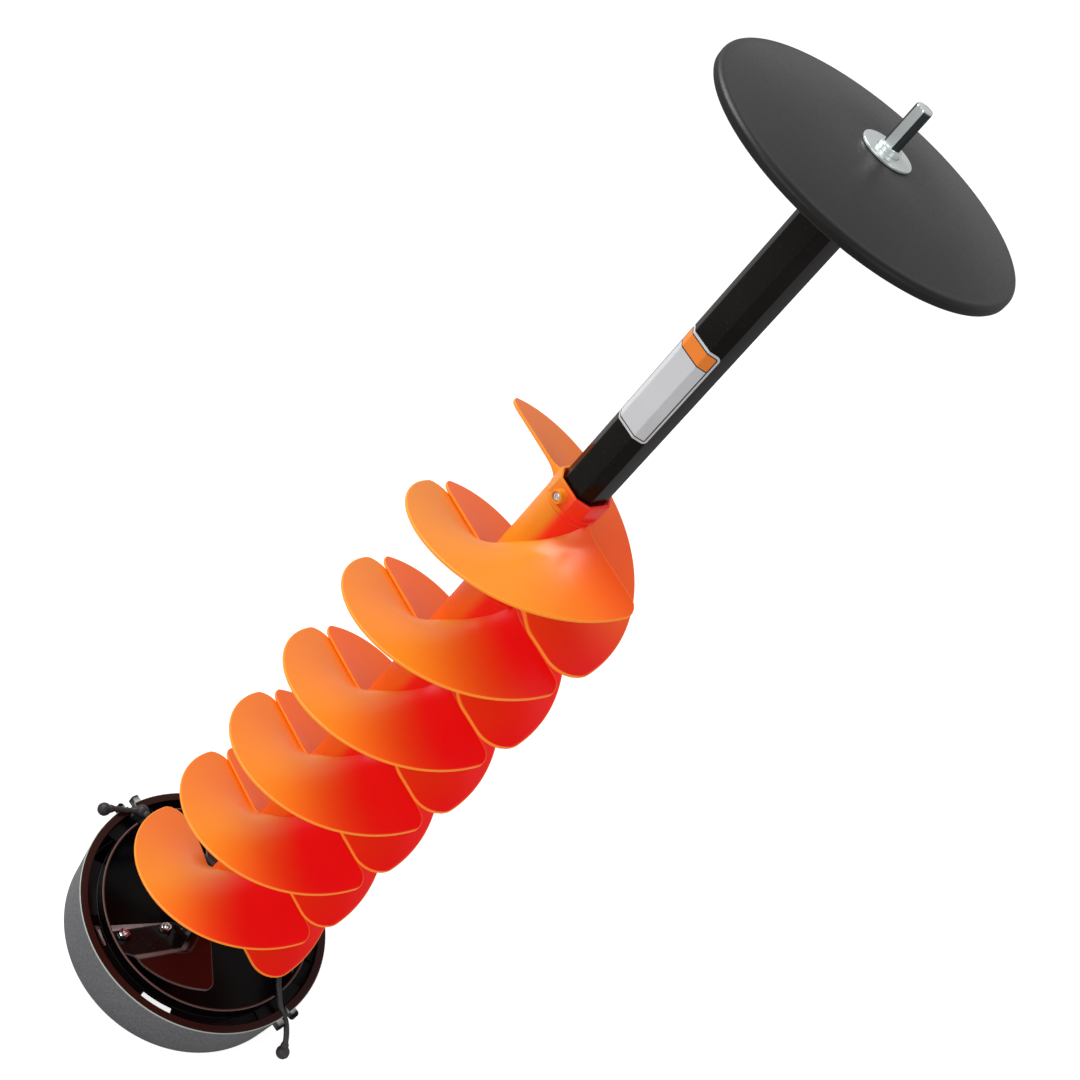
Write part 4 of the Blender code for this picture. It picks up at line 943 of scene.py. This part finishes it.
def markGuard(data):
    # outside: the skirt's outer face and the underside; rim: a painted highlight on its rounded top edge and,
    # fainter, on the inner ring's; ring: a painted highlight on the heads of the rim and of the inner ring
    g, co = guard, cornersOf(data)
    r, z = np.hypot(co[:, 0], co[:, 1]), co[:, 2]
    outside = ((r > skirt(z) - 0.0009) & (r < skirt(z) + 0.0004) & (z < g["height"] - 0.0002)) | (z < 0.0003)
    rim = smoothStep((z - 0.0523) / 0.0006) * (r > skirt(z) - 0.0008) * (r < skirt(z) + 0.0003)
    ring = 0.2 * smoothStep((z - 0.0535) / 0.0004) * (r > g["channel"] - 0.001) * (r < g["rim"] - 0.0006)
    ringHead = (z > g["ringTop"] - 0.0004) & (r < g["ringOuter"] + 0.001)
    addMask(data, "outside", outside)
    addMask(data, "rim", np.maximum(rim, 0.15 * (ringHead & (r > g["ringOuter"] - 0.0007))))
    addMask(data, "ring", np.maximum(ring, 0.55 * ringHead))
    data.shade_smooth()
    data.set_sharp_from_angle(angle=radians(30))


# rubber strap: each point of the route is a radius, an angle about Z in degrees and a height

strap = dict(radius=0.0027, ball=0.0065, collar=0.0013, collarReach=0.0035)


def strapPoints():
    g = guard
    left, right, out = g["turn"] + 180, g["turn"] + g["vShift"], g["turn"]
    rim, high, top, middle = g["rim"], g["height"], g["ringTop"], g["ringOuter"] - 0.0011
    cross, wrap = top + 0.0075, head["hub"] + strap["radius"] + 0.003
    route = [(rim + 0.0106, left + 12.0, high + 0.0007), (rim + 0.004, left + 9.0, high + 0.0033),
             ((g["channel"] + rim) / 2, left + 5.2, high + 0.0039),
             (g["ringOuter"] + strap["ball"] + 0.0005, left - 0.8, top + 0.001),
             (middle - 0.001, left - 0.6, top + 0.0037), (0.085, left - 3.5, cross - 0.001),
             (0.045, left - 31.0, cross), (wrap, left - 76.0, cross), (wrap, left - 87.0, cross),
             (wrap, left - 98.0, cross), (0.045, right + 36.0, cross), (0.085, right + 7.5, cross - 0.0012),
             (middle - 0.003, right + 0.8, top + 0.0022), (middle + 0.002, right - 0.4, top - 0.0004),
             (g["channel"] - 0.002, out + 0.3, high - 0.001), (rim - 0.001, out, high - 0.0045),
             (rim + 0.007, out - 0.9, high - 0.0074), (rim + 0.017, out - 3.0, high - 0.013),
             (rim + 0.0246, out - 5.2, high - 0.02)]
    r, a, z = np.array(route).T
    return polar(r, np.radians(a), z)


def smoothRoute(points, steps):
    # Catmull-Rom curve through the points
    p = np.concatenate([points[:1], points, points[-1:]])
    t = (np.arange(steps) / steps)[:, None]
    out = []
    for a, b, c, d in zip(p, p[1:], p[2:], p[3:]):
        out.append(0.5 * (2 * b + (c - a) * t + (2 * a - 5 * b + 4 * c - d) * t ** 2 +
                          (3 * b - a - 3 * c + d) * t ** 3))
    return np.concatenate(out + [points[-1:]])


def makeStrap():
    # balls: radius = ball (1 + 0.025 exp(-(height / 0.4 mm) ^ 2)), a mould line round the middle,
    # and a collar that carries each ball into the cord
    points, ball = strapPoints(), strap["ball"]
    route = smoothRoute(points, 10)
    balls = (points[0], points[3], points[-1])
    nearest = np.min([np.linalg.norm(route - centre, axis=1) for centre in balls], axis=0)
    size = strap["radius"] + strap["collar"] * smoothStep(1 - (nearest - ball) / strap["collarReach"])
    finish(sweepTube("strapCord", route, size, 28), "rubber", "guard_strap", body="guard")
    up, a = np.linspace(-pi / 2, pi / 2, 41)[:, None], roundTurn(56)
    r = ball * (1 + 0.025 * np.exp(-(ball * np.sin(up) / 0.0004) ** 2))
    skin = polar(r * np.cos(up), a, r * np.sin(up) * 0.97)
    for k, centre in enumerate(balls):
        finish(gridMesh(f"strapBall_{k + 1}", skin + centre, angle=50), "rubber", "guard_strap", body="guard")
    print("strap")


makeGuard()
makeStrap()


# plain sticker wrapped over the tube's faces at -Y, between two angles in degrees

sticker = dict(low=0.762, high=0.85, first=-160.0, last=-22.0, corner=0.004, proud=0.00016,
               edgeRows=(0, 0.1, 0.3, 0.6, 1.0, 1.6))


def makeSticker():
    # grid over (way round the tube, height) with each corner drawn in as a quarter circle
    g = sticker
    outline = octagon(g["proud"], steps=8)
    sides = zip(outline, np.roll(outline, -1, 0))
    dense = np.concatenate([np.linspace(p, q, 6, endpoint=False) for p, q in sides])
    angle = np.degrees(np.arctan2(dense[:, 1], dense[:, 0]))
    order = np.argsort(angle)
    picked = dense[order[(angle[order] > g["first"]) & (angle[order] < g["last"])]]
    s = np.concatenate([[0], np.cumsum(np.linalg.norm(np.diff(picked, axis=0), axis=1))])
    wide, tall, c = s[-1], g["high"] - g["low"], g["corner"]
    v = edgeRows(90, g["edgeRows"], 0.001 / tall)[:, None] * tall
    toEnd = np.minimum(v, tall - v)
    draw = c - np.sqrt(np.maximum(0, c ** 2 - np.maximum(0, c - toEnd) ** 2))
    w = draw + edgeRows(70, g["edgeRows"], 0.001 / wide) * (wide - 2 * draw)
    x, y = np.interp(w, s, picked[:, 0]), np.interp(w, s, picked[:, 1])
    border = np.minimum(np.minimum(w - draw, wide - draw - w), toEnd)
    sink = g["proud"] * 0.8
    shrink = 1 - (1 - np.clip(border / 0.0002, 0, 1)) * sink / np.hypot(x, y)
    z = g["low"] + v + 0 * w
    top, bottom = (np.stack([x * size, y * size, z], -1) for size in (shrink, 1 - sink / 0.017))
    masks = {"border": border * 100, "height": v / tall}
    finish(sheetFrom("plainSticker", top, bottom, masks, weld=False, angle=60), "sticker")
    print("sticker")


makeSticker()


# floor, light and world

studio = dict(floor=0.5, floorSeen=0.8, world=0.55, worldSeen=0.45)
lamps = dict(key=dict(place=(-1.6, -0.4, 1.8), aim=(0, 0, 0.4), size=(1.2, 1.2), power=35),
             front=dict(place=(-0.4, -2.2, 1.5), aim=(0, 0, 0.5), size=(1.4, 1.4), power=14),
             side=dict(place=(2.0, -0.6, 1.6), aim=(0, 0, 0.5), size=(0.8, 1.8), power=6))


def cameraRay(n):
    return n.make("LightPath")["Is Camera Ray"]


def floorPaper(n):
    return {"Base Color": (studio["floor"],) * 3 + (1,), "Roughness": 0.9, "Emission Color": (1, 1, 1, 1),
            "Emission Strength": n.times(cameraRay(n), studio["floorSeen"])}


def makeStage():
    # floor and world look white to the camera and light the object less than that
    bpy.ops.mesh.primitive_plane_add(size=60)
    floor = bpy.context.object
    floor.name = "floor"
    floor.data.materials.append(newMaterial("floorPaper", floorPaper))
    world = bpy.data.worlds.new("studio")
    bpy.context.scene.world = world
    world.use_nodes = True
    n, background = Nodes(world.node_tree), world.node_tree.nodes["Background"].inputs
    n.feed(n.math("ADD", n.times(cameraRay(n), studio["worldSeen"]), studio["world"]), background["Strength"])
    n.feed((1, 1, 1, 1), background["Color"])
    bpy.context.scene.view_settings.view_transform = "Standard"


def makeLamps():
    for name, lamp in lamps.items():
        data = bpy.data.lights.new(name, "AREA")
        data.shape = "RECTANGLE"
        data.size, data.size_y = lamp["size"]
        data.energy = lamp["power"]
        addObject(name, data).matrix_world = standAt(lamp["place"], lamp["aim"])


makeStage()
makeLamps()
print("stage and lamps")
